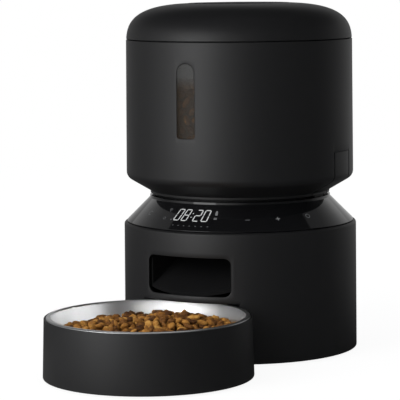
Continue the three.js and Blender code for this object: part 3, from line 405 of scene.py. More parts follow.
def smokedPane():
    # smoked clear plastic: a thin brown haze; above the food line the pane is painted paler grey and less
    # clear, painted light for the brighter look of the empty tank behind it
    look = Look("smokedPane", IOR=1.30)
    foodTop, fade = 0.2175, 90.0
    haze = look.noise(120.0)
    rise = (look.axis(look.spot, 2) - foodTop) * fade
    # painted light: from the food line up, the pane turns paler grey and less clear
    paintedLightAbove = look.ramp(rise + haze * 0.3, (0.0, (0, 0, 0)), (1.0, (1, 1, 1)))
    look.paint(paintedLightAbove, (0.019, 0.012, 0.006), (0.025, 0.025, 0.024))
    look.give("Alpha", 0.50 + paintedLightAbove * 0.30)
    look.give("Roughness", 0.22 + haze * 0.08)
    return look


def bowlSteel():
    # spun stainless steel: fine rings round the bowl's axis
    look = Look("bowlSteel", Metallic=1.0)
    spot = look.place((0, bowlY * mm, 0))
    radius = look.reach(look.axis(spot, 0), look.axis(spot, 1))
    turning = look.add("ShaderNodeCombineXYZ", {}, {0: radius, 1: look.axis(spot, 2)})
    rings = look.noise(2600.0, 3.0, 0.7, turning)
    cloud = look.noise(60.0, 4.0, where=spot)
    look.paint(cloud, (0.56, 0.565, 0.575), (0.66, 0.665, 0.67))
    look.give("Roughness", 0.27 + rings * 0.10 + cloud * 0.06)
    return look.bump(rings, 0.12, 0.00006)


def toolSteel():
    look = Look("toolSteel", Metallic=1.0)
    lines = look.noise(300.0, where=look.place(scale=(1, 1, 30)))
    look.paint(lines, (0.42, 0.42, 0.43), (0.56, 0.56, 0.57))
    look.give("Roughness", 0.28 + lines * 0.16)
    return look.bump(lines, 0.08, 0.0001)


def chutePaintedShade():
    # black plastic painted darker and duller than the other inner parts: painted shade for the shade the
    # chute lies in, a little worn by the food
    look = Look("chutePaintedShade", Specular_IOR_Level=0.1)
    worn = look.noise(60.0, 4.0)
    look.paint(worn, (0.0040, 0.0040, 0.0043), (0.0065, 0.0065, 0.0068))
    look.give("Roughness", 0.72 + worn * 0.15)
    return look.bump(look.noise(1100.0, 2.0), 0.2, 0.00012)


def softSilicone():
    look = Look("softSilicone", Sheen_Weight=0.15)
    fine = look.noise(700.0)
    look.paint(fine, (0.20, 0.205, 0.215), (0.27, 0.275, 0.285))
    look.give("Roughness", 0.62 + fine * 0.15)
    return look.bump(fine, 0.1, 0.0001)


def footRubber():
    look = Look("footRubber")
    fine = look.noise(1300.0)
    look.paint(fine, (0.008, 0.008, 0.008), (0.018, 0.018, 0.017))
    look.give("Roughness", 0.75 + fine * 0.15)
    return look.bump(fine, 0.3, 0.0001)


def whiteAcetal():
    look = Look("whiteAcetal", Subsurface_Weight=0.05)
    cloud = look.noise(90.0, 4.0)
    fine = look.noise(900.0, 2.0)
    look.paint(cloud, (0.66, 0.64, 0.57), (0.76, 0.74, 0.67))
    look.give("Roughness", 0.36 + fine * 0.12)
    return look.bump(fine, 0.08, 0.0001)


def boardGreen():
    # solder mask with copper runs under it
    look = Look("boardGreen", Coat_Weight=0.3)
    cells = look.add("ShaderNodeTexVoronoi", {"feature": "DISTANCE_TO_EDGE"},
                     {"Vector": look.spot, "Scale": 420.0})
    look.paint(cells > 0.09, (0.030, 0.135, 0.050), (0.012, 0.070, 0.026))
    look.give("Roughness", 0.35 + look.noise(800.0) * 0.15)
    return look.bump(cells, 0.15, 0.0002)


def cellJacket():
    # battery jacket: a copper-coloured band at one end and a dark body, no print
    look = Look("cellJacket", Metallic=0.6)
    bandFrom = (towerY + 26) * mm
    band = look.axis(look.spot, 1) > bandFrom
    look.paint(band, (0.05, 0.052, 0.056), (0.45, 0.20, 0.07))
    look.give("Roughness", 0.26 + look.noise(500.0) * 0.1)
    return look


def plainBronze():
    look = Look("plainBronze", Metallic=1.0)
    cloud = look.noise(220.0, 4.0)
    look.paint(cloud, (0.40, 0.20, 0.07), (0.55, 0.31, 0.12))
    look.give("Roughness", 0.30 + cloud * 0.2)
    return look


def kibbleCrust():
    # baked food: golden crust, darker where its relief dips, each piece a little different
    look = Look("kibbleCrust", Specular_IOR_Level=0.35)
    tint = look.add("ShaderNodeAttribute", {"attribute_name": "bake"}, {}, out=2)
    pits = look.noise(420.0, 5.0, 0.65)
    fine = look.noise(1700.0)
    crust = look.ramp(pits * 0.6 + tint * 0.4, (0.26, (0.034, 0.011, 0.002)), (0.45, (0.140, 0.054, 0.008)),
                      (0.60, (0.280, 0.122, 0.020)), (0.80, (0.480, 0.260, 0.060)))
    look.give("Base Color", crust)
    look.give("Roughness", 0.62 + fine * 0.25)
    return look.bump(pits * 0.8 + fine * 0.2, 0.7, 0.0009)


def litDigit(name, colour, strength):
    look = Look(name, Emission_Strength=strength)
    glow = look.noise(900.0, 2.0)
    look.paint(glow, (0.02, 0.02, 0.02), (0.03, 0.03, 0.03))
    look.give("Emission Color", look.mix(glow, colour, tuple(min(1, c * 1.12) for c in colour)))
    look.give("Roughness", 0.2 + glow * 0.1)
    return look


looks = {
    "satin_black": shellBlack(), "piano_black": pianoBlack(), "inner_plastic": mattInside(),
    "smoked_clear": smokedPane(), "bowl_steel": bowlSteel(), "gear_steel": toolSteel(),
    "silicone": softSilicone(), "rubber": footRubber(), "acetal": whiteAcetal(),
    "board_green": boardGreen(), "cell_jacket": cellJacket(), "bronze": plainBronze(),
}
kibbleLook = kibbleCrust()
digitLook = litDigit("litDigit", (0.62, 0.63, 0.63), 0.85)
keyLook = litDigit("litKey", (0.42, 0.43, 0.44), 0.45)
faintLook = litDigit("faintMark", (0.20, 0.21, 0.22), 0.30)

for part in frame["record"]["subparts"]:
    skin = nodes[part["node"]]
    skin.data.materials.clear()
    skin.data.materials.append(looks[part["material_slot"]].material)
# painted shade: the chute gets a darker, duller black than the rest of the inner plastic
nodes["food_chute"].data.materials[0] = chutePaintedShade().material
print("materials on the CAD nodes")


def finished(piece, body, slot, *replaced, look=None, angle=32):
    # smooth up to the angle between its faces, dressed and fixed to its body
    pick(piece)
    bpy.ops.object.shade_smooth_by_angle(angle=radians(angle))
    piece.data.materials.clear()
    piece.data.materials.append((look or looks[slot]).material)
    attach(piece, body)
    if replaced:
        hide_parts(*replaced)
    if piece.name in only:
        only[piece.name].objects.link(piece)


# camera, floor and light

cameraSetup = {"azimuth": 0.4942, "pitch": 0.1103, "roll": -0.00913, "distance": 1739.95, "lens": 190.63,
               "aside": -32.877, "height": 120.958, "sensor": 36, "near": 50, "far": 50000}


def makeCamera(setup):
    a, e = setup["azimuth"], setup["pitch"]
    back = Vector((sin(a) * cos(e), -cos(a) * cos(e), sin(e)))
    right = Vector((cos(a), sin(a), 0))
    up = back.cross(right)
    turn = setup["roll"]
    rolledRight = right * cos(turn) + up * sin(turn)
    rolledUp = up * cos(turn) - right * sin(turn)
    target = right * setup["aside"] + Vector((0, towerY, setup["height"]))
    place = (target + back * setup["distance"]) * mm
    data = bpy.data.cameras.new("photoCamera")
    data.lens = setup["lens"]
    data.sensor_width = setup["sensor"]
    data.clip_start, data.clip_end = setup["near"] * mm, setup["far"] * mm
    camera = bpy.data.objects.new("photoCamera", data)
    bpy.context.scene.collection.objects.link(camera)
    camera.matrix_world = Matrix((
        (rolledRight.x, rolledUp.x, back.x, place.x), (rolledRight.y, rolledUp.y, back.y, place.y),
        (rolledRight.z, rolledUp.z, back.z, place.z), (0, 0, 0, 1)))
    bpy.context.scene.camera = camera


makeCamera(cameraSetup)

white = (1, 1, 1, 1)
floorSetup = {"size": 8.0, "nearWhite": 0.92, "farWhite": 1.0, "near": 0.35, "far": 1.6}
deselectAll()
bpy.ops.mesh.primitive_plane_add(size=floorSetup["size"], location=(0, 0, 0))
floor = named("floor")
paleFloor = Look("paleFloor", Base_Color=(0.96, 0.96, 0.96), Roughness=0.9, Specular_IOR_Level=0.0)
blank = paleFloor.add("ShaderNodeEmission", {}, {"Color": white, "Strength": 1.0})
lit = Wire(paleFloor, paleFloor.shader.outputs[0])
spot = paleFloor.place((0, towerY * mm, 0))
fade = paleFloor.add("ShaderNodeMapRange", {"clamp": True}, {
    0: paleFloor.reach(paleFloor.axis(spot, 0), paleFloor.axis(spot, 1)), 1: floorSetup["near"],
    2: floorSetup["far"], 3: floorSetup["nearWhite"], 4: floorSetup["farWhite"]})
paleFloor.surface("Material Output", paleFloor.seen() * fade, lit, blank)
floor.data.materials.append(paleFloor.material)
floor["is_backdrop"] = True

world = bpy.data.worlds.new("studio")
bpy.context.scene.world = world
sky = Sheet(world)
fill = sky.add("ShaderNodeBackground", {}, {"Color": (0.62, 0.63, 0.65, 1), "Strength": 1.0})
blank = sky.add("ShaderNodeBackground", {}, {"Color": white, "Strength": 1.0})
sky.surface("World Output", sky.seen(), fill, blank)

# dark cards round the set, as for any black product: they show only in gloss, and stand open at the
# front left and partly at the back. Shares are how far open, by angle round the set from the camera and
# by angle of height.
cards = {"r": 1.2, "height": 2.9, "middle": 0.14, "lift": 0.0006, "sides": 96, "dark": 0.02,
         "open": [(-180, 0.60), (-165, 0.46), (-145, 0.28), (-105, 0.16), (-88, 0.50), (-72, 1.0), (-25, 1.0),
                  (-8, 0.50), (10, 0.07), (90, 0.04), (112, 0.26), (145, 0.48), (180, 0.60)],
         "openByRise": [(-35, 0.15), (-12, 0.45), (-4, 1.0), (18, 1.0), (36, 0.0)]}
deselectAll()
bpy.ops.mesh.primitive_cylinder_add(vertices=cards["sides"], radius=cards["r"], depth=cards["height"],
                                    location=(0, towerY * mm, cards["height"] / 2 + cards["lift"]))
cardTent = settle(named("cardTent"))
cardLook = Look("darkCard")
spot = cardLook.place((0, towerY * mm, cards["middle"]))
x, y, z = [cardLook.axis(spot, k) for k in range(3)]
turnShare = (cardLook.sum("ARCTAN2", x, 0 - y) - cameraSetup["azimuth"]) / (2 * pi) + 0.5
turnShare = cardLook.sum("WRAP", turnShare, 1.0, 0.0)
riseShare = cardLook.sum("ARCTAN2", z, cardLook.reach(x, y)) / pi + 0.5
openRise = cardLook.ramp(riseShare, *[((a + 90) / 180, (v, v, v)) for a, v in cards["openByRise"]])
openTurn = cardLook.ramp(turnShare, *[((a + 180) / 360, (v, v, v)) for a, v in cards["open"]])
shut = cardLook.add("ShaderNodeEmission", {}, {"Color": white, "Strength": cards["dark"]})
cardLook.surface("Material Output", openTurn * openRise, shut, cardLook.add("ShaderNodeBsdfTransparent"))
cardTent.data.materials.append(cardLook.material)
cardTent.visible_camera = False
cardTent.visible_diffuse = False
cardTent.visible_transmission = False
cardTent.visible_shadow = False
cardTent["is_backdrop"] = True

bpy.context.scene.view_settings.view_transform = "Standard"

# soft boxes: place from the tower's middle, by angle round it from the camera and angle of height
lampMiddle = 0.14
lamps = {
    "keyBox": {"turn": -48, "rise": 30, "away": 1.6, "size": (0.9, 1.1), "energy": 14.5},
    "topBox": {"turn": -20, "rise": 78, "away": 1.6, "size": (0.9, 0.9), "energy": 5.5},
    "backBox": {"turn": 160, "rise": 10, "away": 1.6, "size": (1.2, 1.0), "energy": 14},
    "stripBox": {"turn": -45, "rise": 8.6, "away": 0.8, "size": (0.42, 0.44), "energy": 1.4,
                 "gloss": True},
    "bowlFrontBox": {"turn": -38, "rise": 38, "away": 1.0, "size": (1.9, 0.95), "energy": 7.4,
                     "only": "steelBowl", "through": True},
    "bowlBackBox": {"turn": 114, "rise": 14, "away": 1.0, "size": (3.1, 0.9), "energy": 13.5,
                    "only": "steelBowl", "through": True},
    "rimTopBox": {"turn": 0, "rise": 88, "away": 1.0, "size": (1.0, 1.0), "energy": 2.6,
                  "only": "steelRim"},
    "ringLeftBox": {"turn": -150, "rise": 34, "away": 1.1, "size": (1.6, 0.9), "energy": 1.35,
                    "only": "controlRing"},
    "ringRightBox": {"turn": 145, "rise": 34, "away": 1.1, "size": (1.6, 0.9), "energy": 0.9,
                     "only": "controlRing"},
}
only = {}     # a collection for each piece that has lamps of its own
for name, setup in lamps.items():
    light = bpy.data.lights.new(name, "AREA")
    light.shape = "RECTANGLE"
    light.size, light.size_y = setup["size"]
    light.energy = setup["energy"]
    lamp = bpy.data.objects.new(name, light)
    bpy.context.scene.collection.objects.link(lamp)
    around = cameraSetup["azimuth"] + radians(setup["turn"])
    rise = radians(setup["rise"])
    aim = Vector((sin(around) * cos(rise), -cos(around) * cos(rise), sin(rise)))
    lamp.location = Vector((0, towerY * mm, lampMiddle)) + aim * setup["away"]
    lamp.rotation_mode = "QUATERNION"
    lamp.rotation_quaternion = aim.to_track_quat("Z", "Y")
    lamp.visible_glossy = "gloss" in setup or "only" in setup
    if "only" in setup:
        piece = setup["only"]
        only[piece] = only.get(piece) or bpy.data.collections.new(piece + "Light")
        lamp.light_linking.receiver_collection = only[piece]
    if "through" in setup:     # nothing but the piece itself shades this light
        lamp.light_linking.blocker_collection = only[piece]
        light.cycles.use_multiple_importance_sampling = False
print("camera, floor and light")


# tank

tank = {"lip": 73.3, "lipIn": 70.1, "low": 128.3, "lipTop": 130.4, "slope": 30.5, "wallLow": 92.75,
        "wallTop": 92.0, "top": 253.05, "wall": 2.4, "corner": 7.0, "innerCorner": 4.6, "ledgeR": 87.4,
        "ledge": (249.75, 248.65, 246.85, 244.65)}     # heights of the inner ledge over the lid's bolts
window = {"width": 15.8, "bottom": 177.8, "top": 236.7, "gap": 0.3, "sunk": 0.3, "thick": 1.4, "flange": 2.4,
          "spare": 8.0, "corners": (2.5, 2.5, 7.85, 7.85), "paneCorners": (2.2, 2.2, 7.5, 7.5),
          "flangeCorners": (4.0, 4.0, 10.0, 10.0), "over": 3.0, "under": 4.0}
flap = {"half": 13.0, "slit": 1.2, "low": 120.0, "top": 163.9, "topGap": 0.17, "inside": 60.0, "hookIn": 69.9,
        "hookOut": 71.8, "hookLow": 121.8, "hookHalf": 8.0, "hookGap": 0.4, "nose": 0.5, "noseTall": 1.6}

rising = tan(radians(tank["slope"]))
cornerZ = tank["lipTop"] + (tank["wallLow"] - tank["lip"]) * rising


def tankWall(z, inset=0.0):
    share = (tank["top"] - z) / (tank["top"] - cornerZ)
    return tank["wallTop"] + (tank["wallLow"] - tank["wallTop"]) * share - inset


def underInner(r):
    return tank["lipTop"] + tank["wall"] / cos(radians(tank["slope"])) + (r - tank["lip"]) * rising


wall = tank["wall"]
innerR, rimIn = tank["wallLow"] - wall, tank["wallTop"] - wall
ledge = tank["ledge"]
over, under = window["top"] + window["over"], window["bottom"] - window["under"]     # past its cut
tankProfile = softened([
    (tank["lipIn"], tank["low"], 0.25), (tank["lip"], tank["low"], 0.5), (tank["lip"], tank["lipTop"], 0.35),
    (tank["wallLow"], cornerZ, tank["corner"]), (tankWall(under), under), (tankWall(over), over),
    (tank["wallTop"], tank["top"], 0.45), (rimIn, tank["top"], 0.4), (rimIn, ledge[0], 0.3),
    (tank["ledgeR"], ledge[1], 0.4), (tank["ledgeR"], ledge[2], 0.4),
    (tankWall(ledge[3], wall), ledge[3], 0.5), (tankWall(over, wall), over), (tankWall(under, wall), under),
    (innerR, underInner(innerR), tank["innerCorner"]), (tank["lipIn"], underInner(tank["lipIn"]), 0.25)], 6)
tankShell = turned("tankShell", tankProfile, towerY)
flapWall = copied(tankShell, "flapWall")
shaped(tankShell, upright("windowCut", window["width"], window["bottom"], window["top"], window["corners"]))
for side in (1, -1):
    depth = sorted((side * flap["inside"], side * outside))
    half = flap["half"] + flap["slit"]
    shaped(tankShell, brick("flapCut", depth, about(towerY, half),
                            (flap["low"], flap["top"] + flap["topGap"])))
eased(tankShell, 0.35)
finished(tankShell, "tank", "satin_black", "tank_shell")


def makeFlap(name, side, body, node):
    piece = copied(flapWall, name)
    depth = sorted((side * flap["inside"], side * outside))
    shaped(piece, brick("flapBlank", depth, about(towerY, flap["half"]),
                        (flap["low"], flap["top"])), "INTERSECT")
    hookX = sorted((side * flap["hookIn"], side * flap["hookOut"]))
    noseX = sorted((side * flap["hookIn"], side * (flap["hookOut"] + flap["nose"])))
    rows = about(towerY, flap["hookHalf"])
    low = flap["hookLow"]
    shaped(piece, brick("flapHook", hookX, rows, (low, underInner(tank["lip"]) - flap["hookGap"])), "UNION")
    shaped(piece, brick("flapNose", noseX, rows, (low, low + flap["noseTall"])), "UNION")
    eased(piece, 0.3)
    finished(piece, body, "satin_black", node)


makeFlap("flapRight", 1, "flap_right", "release_flap_right")
makeFlap("flapLeft", -1, "flap_left", "release_flap_left")
bpy.data.objects.remove(flapWall, do_unlink=True)

gap = window["gap"]
low, high = window["bottom"] - window["spare"], window["top"] + window["spare"]
seat = [tankWall(z, wall) - gap for z in (low, high)]


def windowSheet(name, front):
    # a turned sheet from the pane's back to the given radii, at its low and high ends
    back = [r - window["thick"] for r in seat]
    return turned(name, [(back[0], low), (front[0], low), (front[1], high), (back[1], high)], towerY)


pane = windowSheet("windowPane", [tankWall(z, window["sunk"]) for z in (low, high)])
shaped(pane, upright("paneCut", window["width"] - 2 * gap, window["bottom"] + gap, window["top"] - gap,
                     window["paneCorners"]), "INTERSECT")
flange = windowSheet("windowFlange", seat)
wide = window["flange"]
shaped(flange, upright("flangeCut", window["width"] + 2 * wide, window["bottom"] - wide, window["top"] + wide,
                       window["flangeCorners"]), "INTERSECT")
shaped(pane, flange, "UNION")
finished(pane, "tank", "smoked_clear", "tank_window")
print("tank")


# lid and knob

lid = {"foot": 253.75, "top": 282.15, "flat": 26.4, "side": 92.0, "start": 244.05, "sidePower": 2.884,
       "topPower": 3.536, "wall": 2.6, "pocket": 42.3, "floor": 273.45, "stemHole": 6.4}
knob = {"r": 41.9, "low": 273.75, "top": 282.15, "pocketR": 36.0, "pocketFloor": 276.25, "bar": 17.0,
        "barLow": 270.0, "barTop": 292.0, "barHalf": 60.0, "over": 4.0, "stem": 6.0, "stemLow": 248.8,
        "squareLow": 246.2, "square": 4.0, "sunk": 0.4}


def domeArc(inset, fromZ, toR, steps):
    # the dome's side from a height up to a radius: a rounded square's curve with its own two powers
    flat, side = lid["flat"] - inset, lid["side"] - inset
    tall = lid["top"] - inset - lid["start"]
    t0 = asin(((fromZ - lid["start"]) / tall) ** (lid["topPower"] / 2))
    t1 = acos(((toR - flat) / (side - flat)) ** (lid["sidePower"] / 2))
    arc = []
    for k in range(steps + 1):
        t = t0 + (t1 - t0) * k / steps
        arc.append((flat + (side - flat) * cos(t) ** (2 / lid["sidePower"]),
                    lid["start"] + tall * sin(t) ** (2 / lid["topPower"])))
    return arc


outer = domeArc(0, lid["foot"], lid["pocket"], 40)
inner = domeArc(lid["wall"], lid["foot"], lid["pocket"] + lid["wall"], 16)
lidProfile = softened([
    (*outer[0], 0.35), *outer[1:-1], (*outer[-1], 0.3),
    (lid["pocket"], lid["floor"], 0.5), (lid["stemHole"], lid["floor"], 0.3),
    (lid["stemHole"], lid["floor"] - lid["wall"], 0.3),
    (lid["pocket"] + lid["wall"], lid["floor"] - lid["wall"], 0.3), *inner[::-1]], 4)
finished(turned("lidShell", lidProfile, towerY), "lid", "satin_black", "lid_shell")

knobProfile = softened([
    (0, knob["stemLow"]), (knob["stem"], knob["stemLow"], 0.3), (knob["stem"], knob["low"], 0.5),
    (knob["r"], knob["low"], 0.4), (knob["r"], knob["top"], 0.8), (0, knob["top"])])
lidKnob = turned("lidKnob", knobProfile, towerY)
shaped(lidKnob, brick("knobSquare", about(0, knob["square"]), about(towerY, knob["square"]),
                      (knob["squareLow"], knob["stemLow"] + knob["sunk"])), "UNION")
pocket = drum("knobPocket", knob["pocketR"], knob["pocketFloor"], knob["top"] + knob["over"], 0, towerY, 96)
shaped(pocket, brick("knobBar", about(0, knob["barHalf"]), about(towerY, knob["bar"] / 2),
                     (knob["barLow"], knob["barTop"])))
shaped(lidKnob, pocket)
eased(lidKnob, 0.6, 3)
finished(lidKnob, "knob", "satin_black", "lid_knob")
print("lid and knob")


# control ring and its lit marks

ring = {"foot": 93.3, "footZ": 105.1, "top": 73.7, "topZ": 126.6, "raised": 69.4, "shelf": 124.4,
        "shelfR": 70.89, "wall": 3.111, "middle": 81.2, "slotIn": 66.0, "slotOut": 72.6, "slotHalf": 8.4,
        "slotLow": 121.2, "slotTop": 130.0}
kneeZ = ring["footZ"] + ring["foot"] - ring["top"]
ringProfile = softened([
    (ring["foot"] - ring["wall"], ring["footZ"], 0.2), (ring["foot"], ring["footZ"], 0.5),
    (ring["top"], kneeZ, 0.9), (ring["top"], ring["topZ"], 0.35), (ring["raised"], ring["topZ"], 0.3),
    (ring["raised"], ring["shelf"]), (ring["shelfR"], ring["shelf"])])
controlRing = turned("controlRing", ringProfile, towerY, 256)
for side in (1, -1):
    depth = sorted((side * ring["slotIn"], side * ring["slotOut"]))
    shaped(controlRing, brick("hookSlot", depth, about(towerY, ring["slotHalf"]),
                              (ring["slotLow"], ring["slotTop"])))
eased(controlRing, 0.2)
finished(controlRing, "base", "piano_black", "control_ring")

mark = {"lift": 0.05, "thick": 0.04, "step": 0.02}     # the step is between crossed bars


def onCone(arc, down, lift):
    # a place on the ring's slope: millimetres round it from the front, and down it from its top edge
    r = ring["top"] + down / sqrt(2) + lift / sqrt(2)
    z = kneeZ - down / sqrt(2) + lift / sqrt(2)
    return roundTower(arc / ring["middle"], r, z) * mm


def markOf(name, outline, lift=mark["lift"]):
    # a flat mark from its outline, laid on the slope
    piece = outlined(name, [onCone(arc, down, lift) for arc, down in outline], "NGON")
    bpy.ops.mesh.extrude_region_move(TRANSFORM_OT_translate={"value": (0, 0, -mark["thick"] * mm)})
    editDone()
    return piece


def box(x, y, w, h):
    (x0, x1), (y0, y1) = about(x, w / 2), about(y, h / 2)
    return [(x0, y0), (x1, y0), (x1, y1), (x0, y1)]


def dot(x, y, r, sides=10):
    return [(x + r * cos(2 * pi * k / sides), y + r * sin(2 * pi * k / sides))
            for k in range(sides)]


def bandMarks(x, y, r, width, start, end, steps):
    # a curved line is drawn as short pieces, so each stays a simple flat shape
    def corner(radius, k):
        angle = radians(start + (end - start) * k / steps)
        return (x + radius * cos(angle), y - radius * sin(angle))
    out, back = r + width / 2, r - width / 2
    return [[corner(out, k), corner(out, k + 1), corner(back, k + 1), corner(back, k)] for k in range(steps)]


digits = {"text": "08:20", "left": -15.0, "width": 5.3, "gap": 1.65, "colon": 3.1, "top": 5.4, "tall": 11.8,
          "bar": 0.80, "lean": 0.17, "cut": 0.14, "dotShare": 0.62, "dotShares": (0.34, 0.66)}
segmentsOf = {"0": "abcdef", "2": "abged", "8": "abcdefg"}


def segment(letter, w, h, t):
    # one bar of a digit, pointed at both ends
    c, half = digits["cut"], t / 2
    flat = {"a": half, "g": h / 2, "d": h - half}
    if letter in flat:
        start, end, level = half + c, w - half - c, flat[letter]
    else:
        level = half if letter in "ef" else w - half
        start, end = (half + c, h / 2 - c) if letter in "fb" else (h / 2 + c, h - half - c)
    bar = [(start, level), (start + half, level - half), (end - half, level - half), (end, level),
           (end - half, level + half), (start + half, level + half)]
    return bar if letter in flat else [(y, x) for x, y in bar]


def leaning(x, y):
    return (x + (digits["tall"] / 2 - y) * digits["lean"], digits["top"] + y)


marks = []
at = digits["left"]
for sign in digits["text"]:
    if sign == ":":
        x = at + digits["colon"] / 2 - digits["gap"] / 2
        for share in digits["dotShares"]:
            corners = dot(x, digits["tall"] * share, digits["bar"] * digits["dotShare"], 8)
            marks.append(markOf("colon", [leaning(*c) for c in corners]))
        at += digits["colon"]
        continue
    for letter in segmentsOf[sign]:
        shape = segment(letter, digits["width"], digits["tall"], digits["bar"])
        marks.append(markOf("digitBar", [leaning(at + x, y) for x, y in shape]))
    at += digits["width"] + digits["gap"]
finished(joined("clockDigits", marks), "base", "board_green", look=digitLook)

icons = {     # degrees round the ring from the front, and height
    "battery": (14.6, 118.6), "plus": (47.9, 114.3), "minus": (31.2, 114.1), "keyRing": (66.9, 114.8),
    "openRing": (-32.4, 115.4), "smallRing": (-17.7, 113.4), "smallDot": (-12.6, 112.9),
    "waves": (-16.6, 118.4), "dashes": (-9.3, 109.2)}
iconBars = {     # across and down from the icon's place, width and height
    "battery": [(-1.0, -2.1, 1.2, 0.7), (-1.0, -0.9, 2.0, 0.8), (-1.0, 0.25, 2.0, 0.8), (-1.0, 1.4, 2.0, 0.8),
                (-1.3, 4.6, 2.4, 0.45), (-1.3, 5.7, 2.4, 0.45)],
    "plus": [(0, 0, 3.4, 0.42), (0, 0, 0.42, 3.4)], "minus": [(0, 0, 3.4, 0.6)]}
iconRings = {     # radius, line, start and end in degrees, and pieces
    "keyRing": (1.8, 0.5, 0, 360, 14), "openRing": (2.0, 0.5, 40, 320, 14),
    "smallRing": (1.1, 0.4, 0, 360, 10)}
iconDots = {"smallDot": 0.7, "waves": 0.4}     # radius
waves = {"count": 3, "step": 0.9, "line": 0.42, "start": 50, "end": 130, "pieces": 5}
dashes = {"count": 7, "step": 3.3, "width": 1.1, "height": 0.6}


def iconAt(name, aside=0.0):
    angle, z = icons[name]
    return radians(angle + aside) * ring["middle"], (kneeZ - z) * sqrt(2)


def barsOf(name):
    x, y = iconAt(name)
    return [box(x + across, y + down, w, h) for across, down, w, h in iconBars[name]]


def lightUp(name, look, bar, outlines, step=0.0):
    pieces = [markOf(bar, outline, mark["lift"] + step * i) for i, outline in enumerate(outlines)]
    finished(joined(name, pieces), "base", "board_green", look=look)


faintOutlines = barsOf("minus")
for name, sizes in iconRings.items():
    faintOutlines += bandMarks(*iconAt(name), *sizes)
faintOutlines.append(dot(*iconAt("smallDot"), iconDots["smallDot"]))
for k in range(waves["count"]):
    faintOutlines += bandMarks(*iconAt("waves"), waves["step"] * (k + 1), waves["line"], waves["start"],
                               waves["end"], waves["pieces"])
faintOutlines.append(dot(*iconAt("waves"), iconDots["waves"]))
for k in range(dashes["count"]):
    faintOutlines.append(box(*iconAt("dashes", dashes["step"] * k), dashes["width"], dashes["height"]))
lightUp("batteryMark", keyLook, "batteryBar", barsOf("battery"))
lightUp("plusMark", keyLook, "plusBar", barsOf("plus"), mark["step"])
lightUp("faintMarks", faintLook, "faintBar", faintOutlines)
print("control ring")


# base shell

base = {"foot": 95.5, "shoulder": 95.0, "low": 1.4, "top": 104.8, "wall": 2.8, "fillet": 2.2, "mouth": 84.0,
        "flange": 2.6, "nicheR": 81.7, "nicheTop": 49.3, "nicheWall": 2.4, "linerIn": 1.0, "cutLow": -5.0,
        "cutTop": 90.0}
outlet = {"width": 73.8, "bottom": 54.6, "top": 85.0, "corner": 6.0, "over": 4.0, "from": 100.0, "to": 80.0}
inlet = {"r": 5.6, "at": 94.0, "height": 22.0, "low": -4.0, "high": 8.0}
tongue = {"half": 19.0, "from": 77.5, "to": 88.0, "low": 5.8, "top": 9.8, "gap": 0.4, "slotFrom": 74.0,
          "slotTo": 90.0}
pillar = {"r": 4.5, "at": 87.516, "low": 5.3, "top": 41.0, "boreR": 1.4, "boreAt": 87.074, "boreLow": 4.0,
          "boreTop": 30.0}


def baseWall(z, inset=0.0):
    share = (z - base["low"]) / (base["top"] - base["low"])
    return base["foot"] + (base["shoulder"] - base["foot"]) * share - inset


def diagonal(k, r):
    # one of four places on a circle round the tower's axis
    return roundTower(radians(45 + 90 * k), r)[:2]


wall = base["wall"]
over, under = outlet["top"] + outlet["over"], (base["nicheTop"] + outlet["bottom"]) / 2     # past its cut
baseProfile = softened([
    (base["foot"] - wall, base["low"], 0.3), (base["foot"], base["low"], 0.6),
    (baseWall(under), under), (baseWall(over), over),
    (base["shoulder"], base["top"], base["fillet"]), (base["mouth"], base["top"], 0.3),
    (base["mouth"], base["top"] - base["flange"], 0.3),
    (base["shoulder"] - wall, base["top"] - base["flange"], 1.0), (baseWall(over, wall), over),
    (baseWall(under, wall), under)], 8)
baseShell = turned("baseShell", baseProfile, towerY)
liner = drum("nicheLiner", base["nicheR"] + base["nicheWall"], base["low"],
             base["nicheTop"] + base["nicheWall"], 0, bowlY, 192)
shaped(liner, drum("linerTrim", base["foot"] - wall + base["linerIn"], base["cutLow"], base["cutTop"],
                   0, towerY, 192), "INTERSECT")
shaped(baseShell, liner, "UNION")
shaped(baseShell, drum("nicheCut", base["nicheR"], base["cutLow"], base["nicheTop"], 0, bowlY, 192))
shaped(baseShell, upright("outletCut", outlet["width"], outlet["bottom"], outlet["top"],
                          [outlet["corner"]] * 4, towerY - outlet["from"], towerY - outlet["to"]))
plugHole = drum("plugHole", inlet["r"], inlet["low"], inlet["high"], 0, 0, 48)
editAll()
bpy.ops.transform.rotate(value=pi / 2, orient_axis="X", orient_type="GLOBAL", center_override=(0, 0, 0))
bpy.ops.transform.translate(value=(0, (towerY + inlet["at"]) * mm, inlet["height"] * mm))
editDone()
shaped(baseShell, plugHole)
shaped(baseShell, brick("tongueSlot", about(0, tongue["half"] + tongue["gap"]),
                        (bowlY + tongue["slotFrom"], bowlY + tongue["slotTo"]),
                        (tongue["low"] - tongue["gap"], tongue["top"] + tongue["gap"])))
eased(baseShell, 0.4)
finished(baseShell, "base", "satin_black", "base_shell")
for k in range(4):
    screwPillar = drum(f"screwPillar{k + 1}", pillar["r"], pillar["low"], pillar["top"],
                       *diagonal(k, pillar["at"]), 24)
    shaped(screwPillar, drum("pillarBore", pillar["boreR"], pillar["boreLow"], pillar["boreTop"],
                             *diagonal(k, pillar["boreAt"]), 16))
    finished(screwPillar, "base", "satin_black")
print("base shell")


# bowl holder and bowl

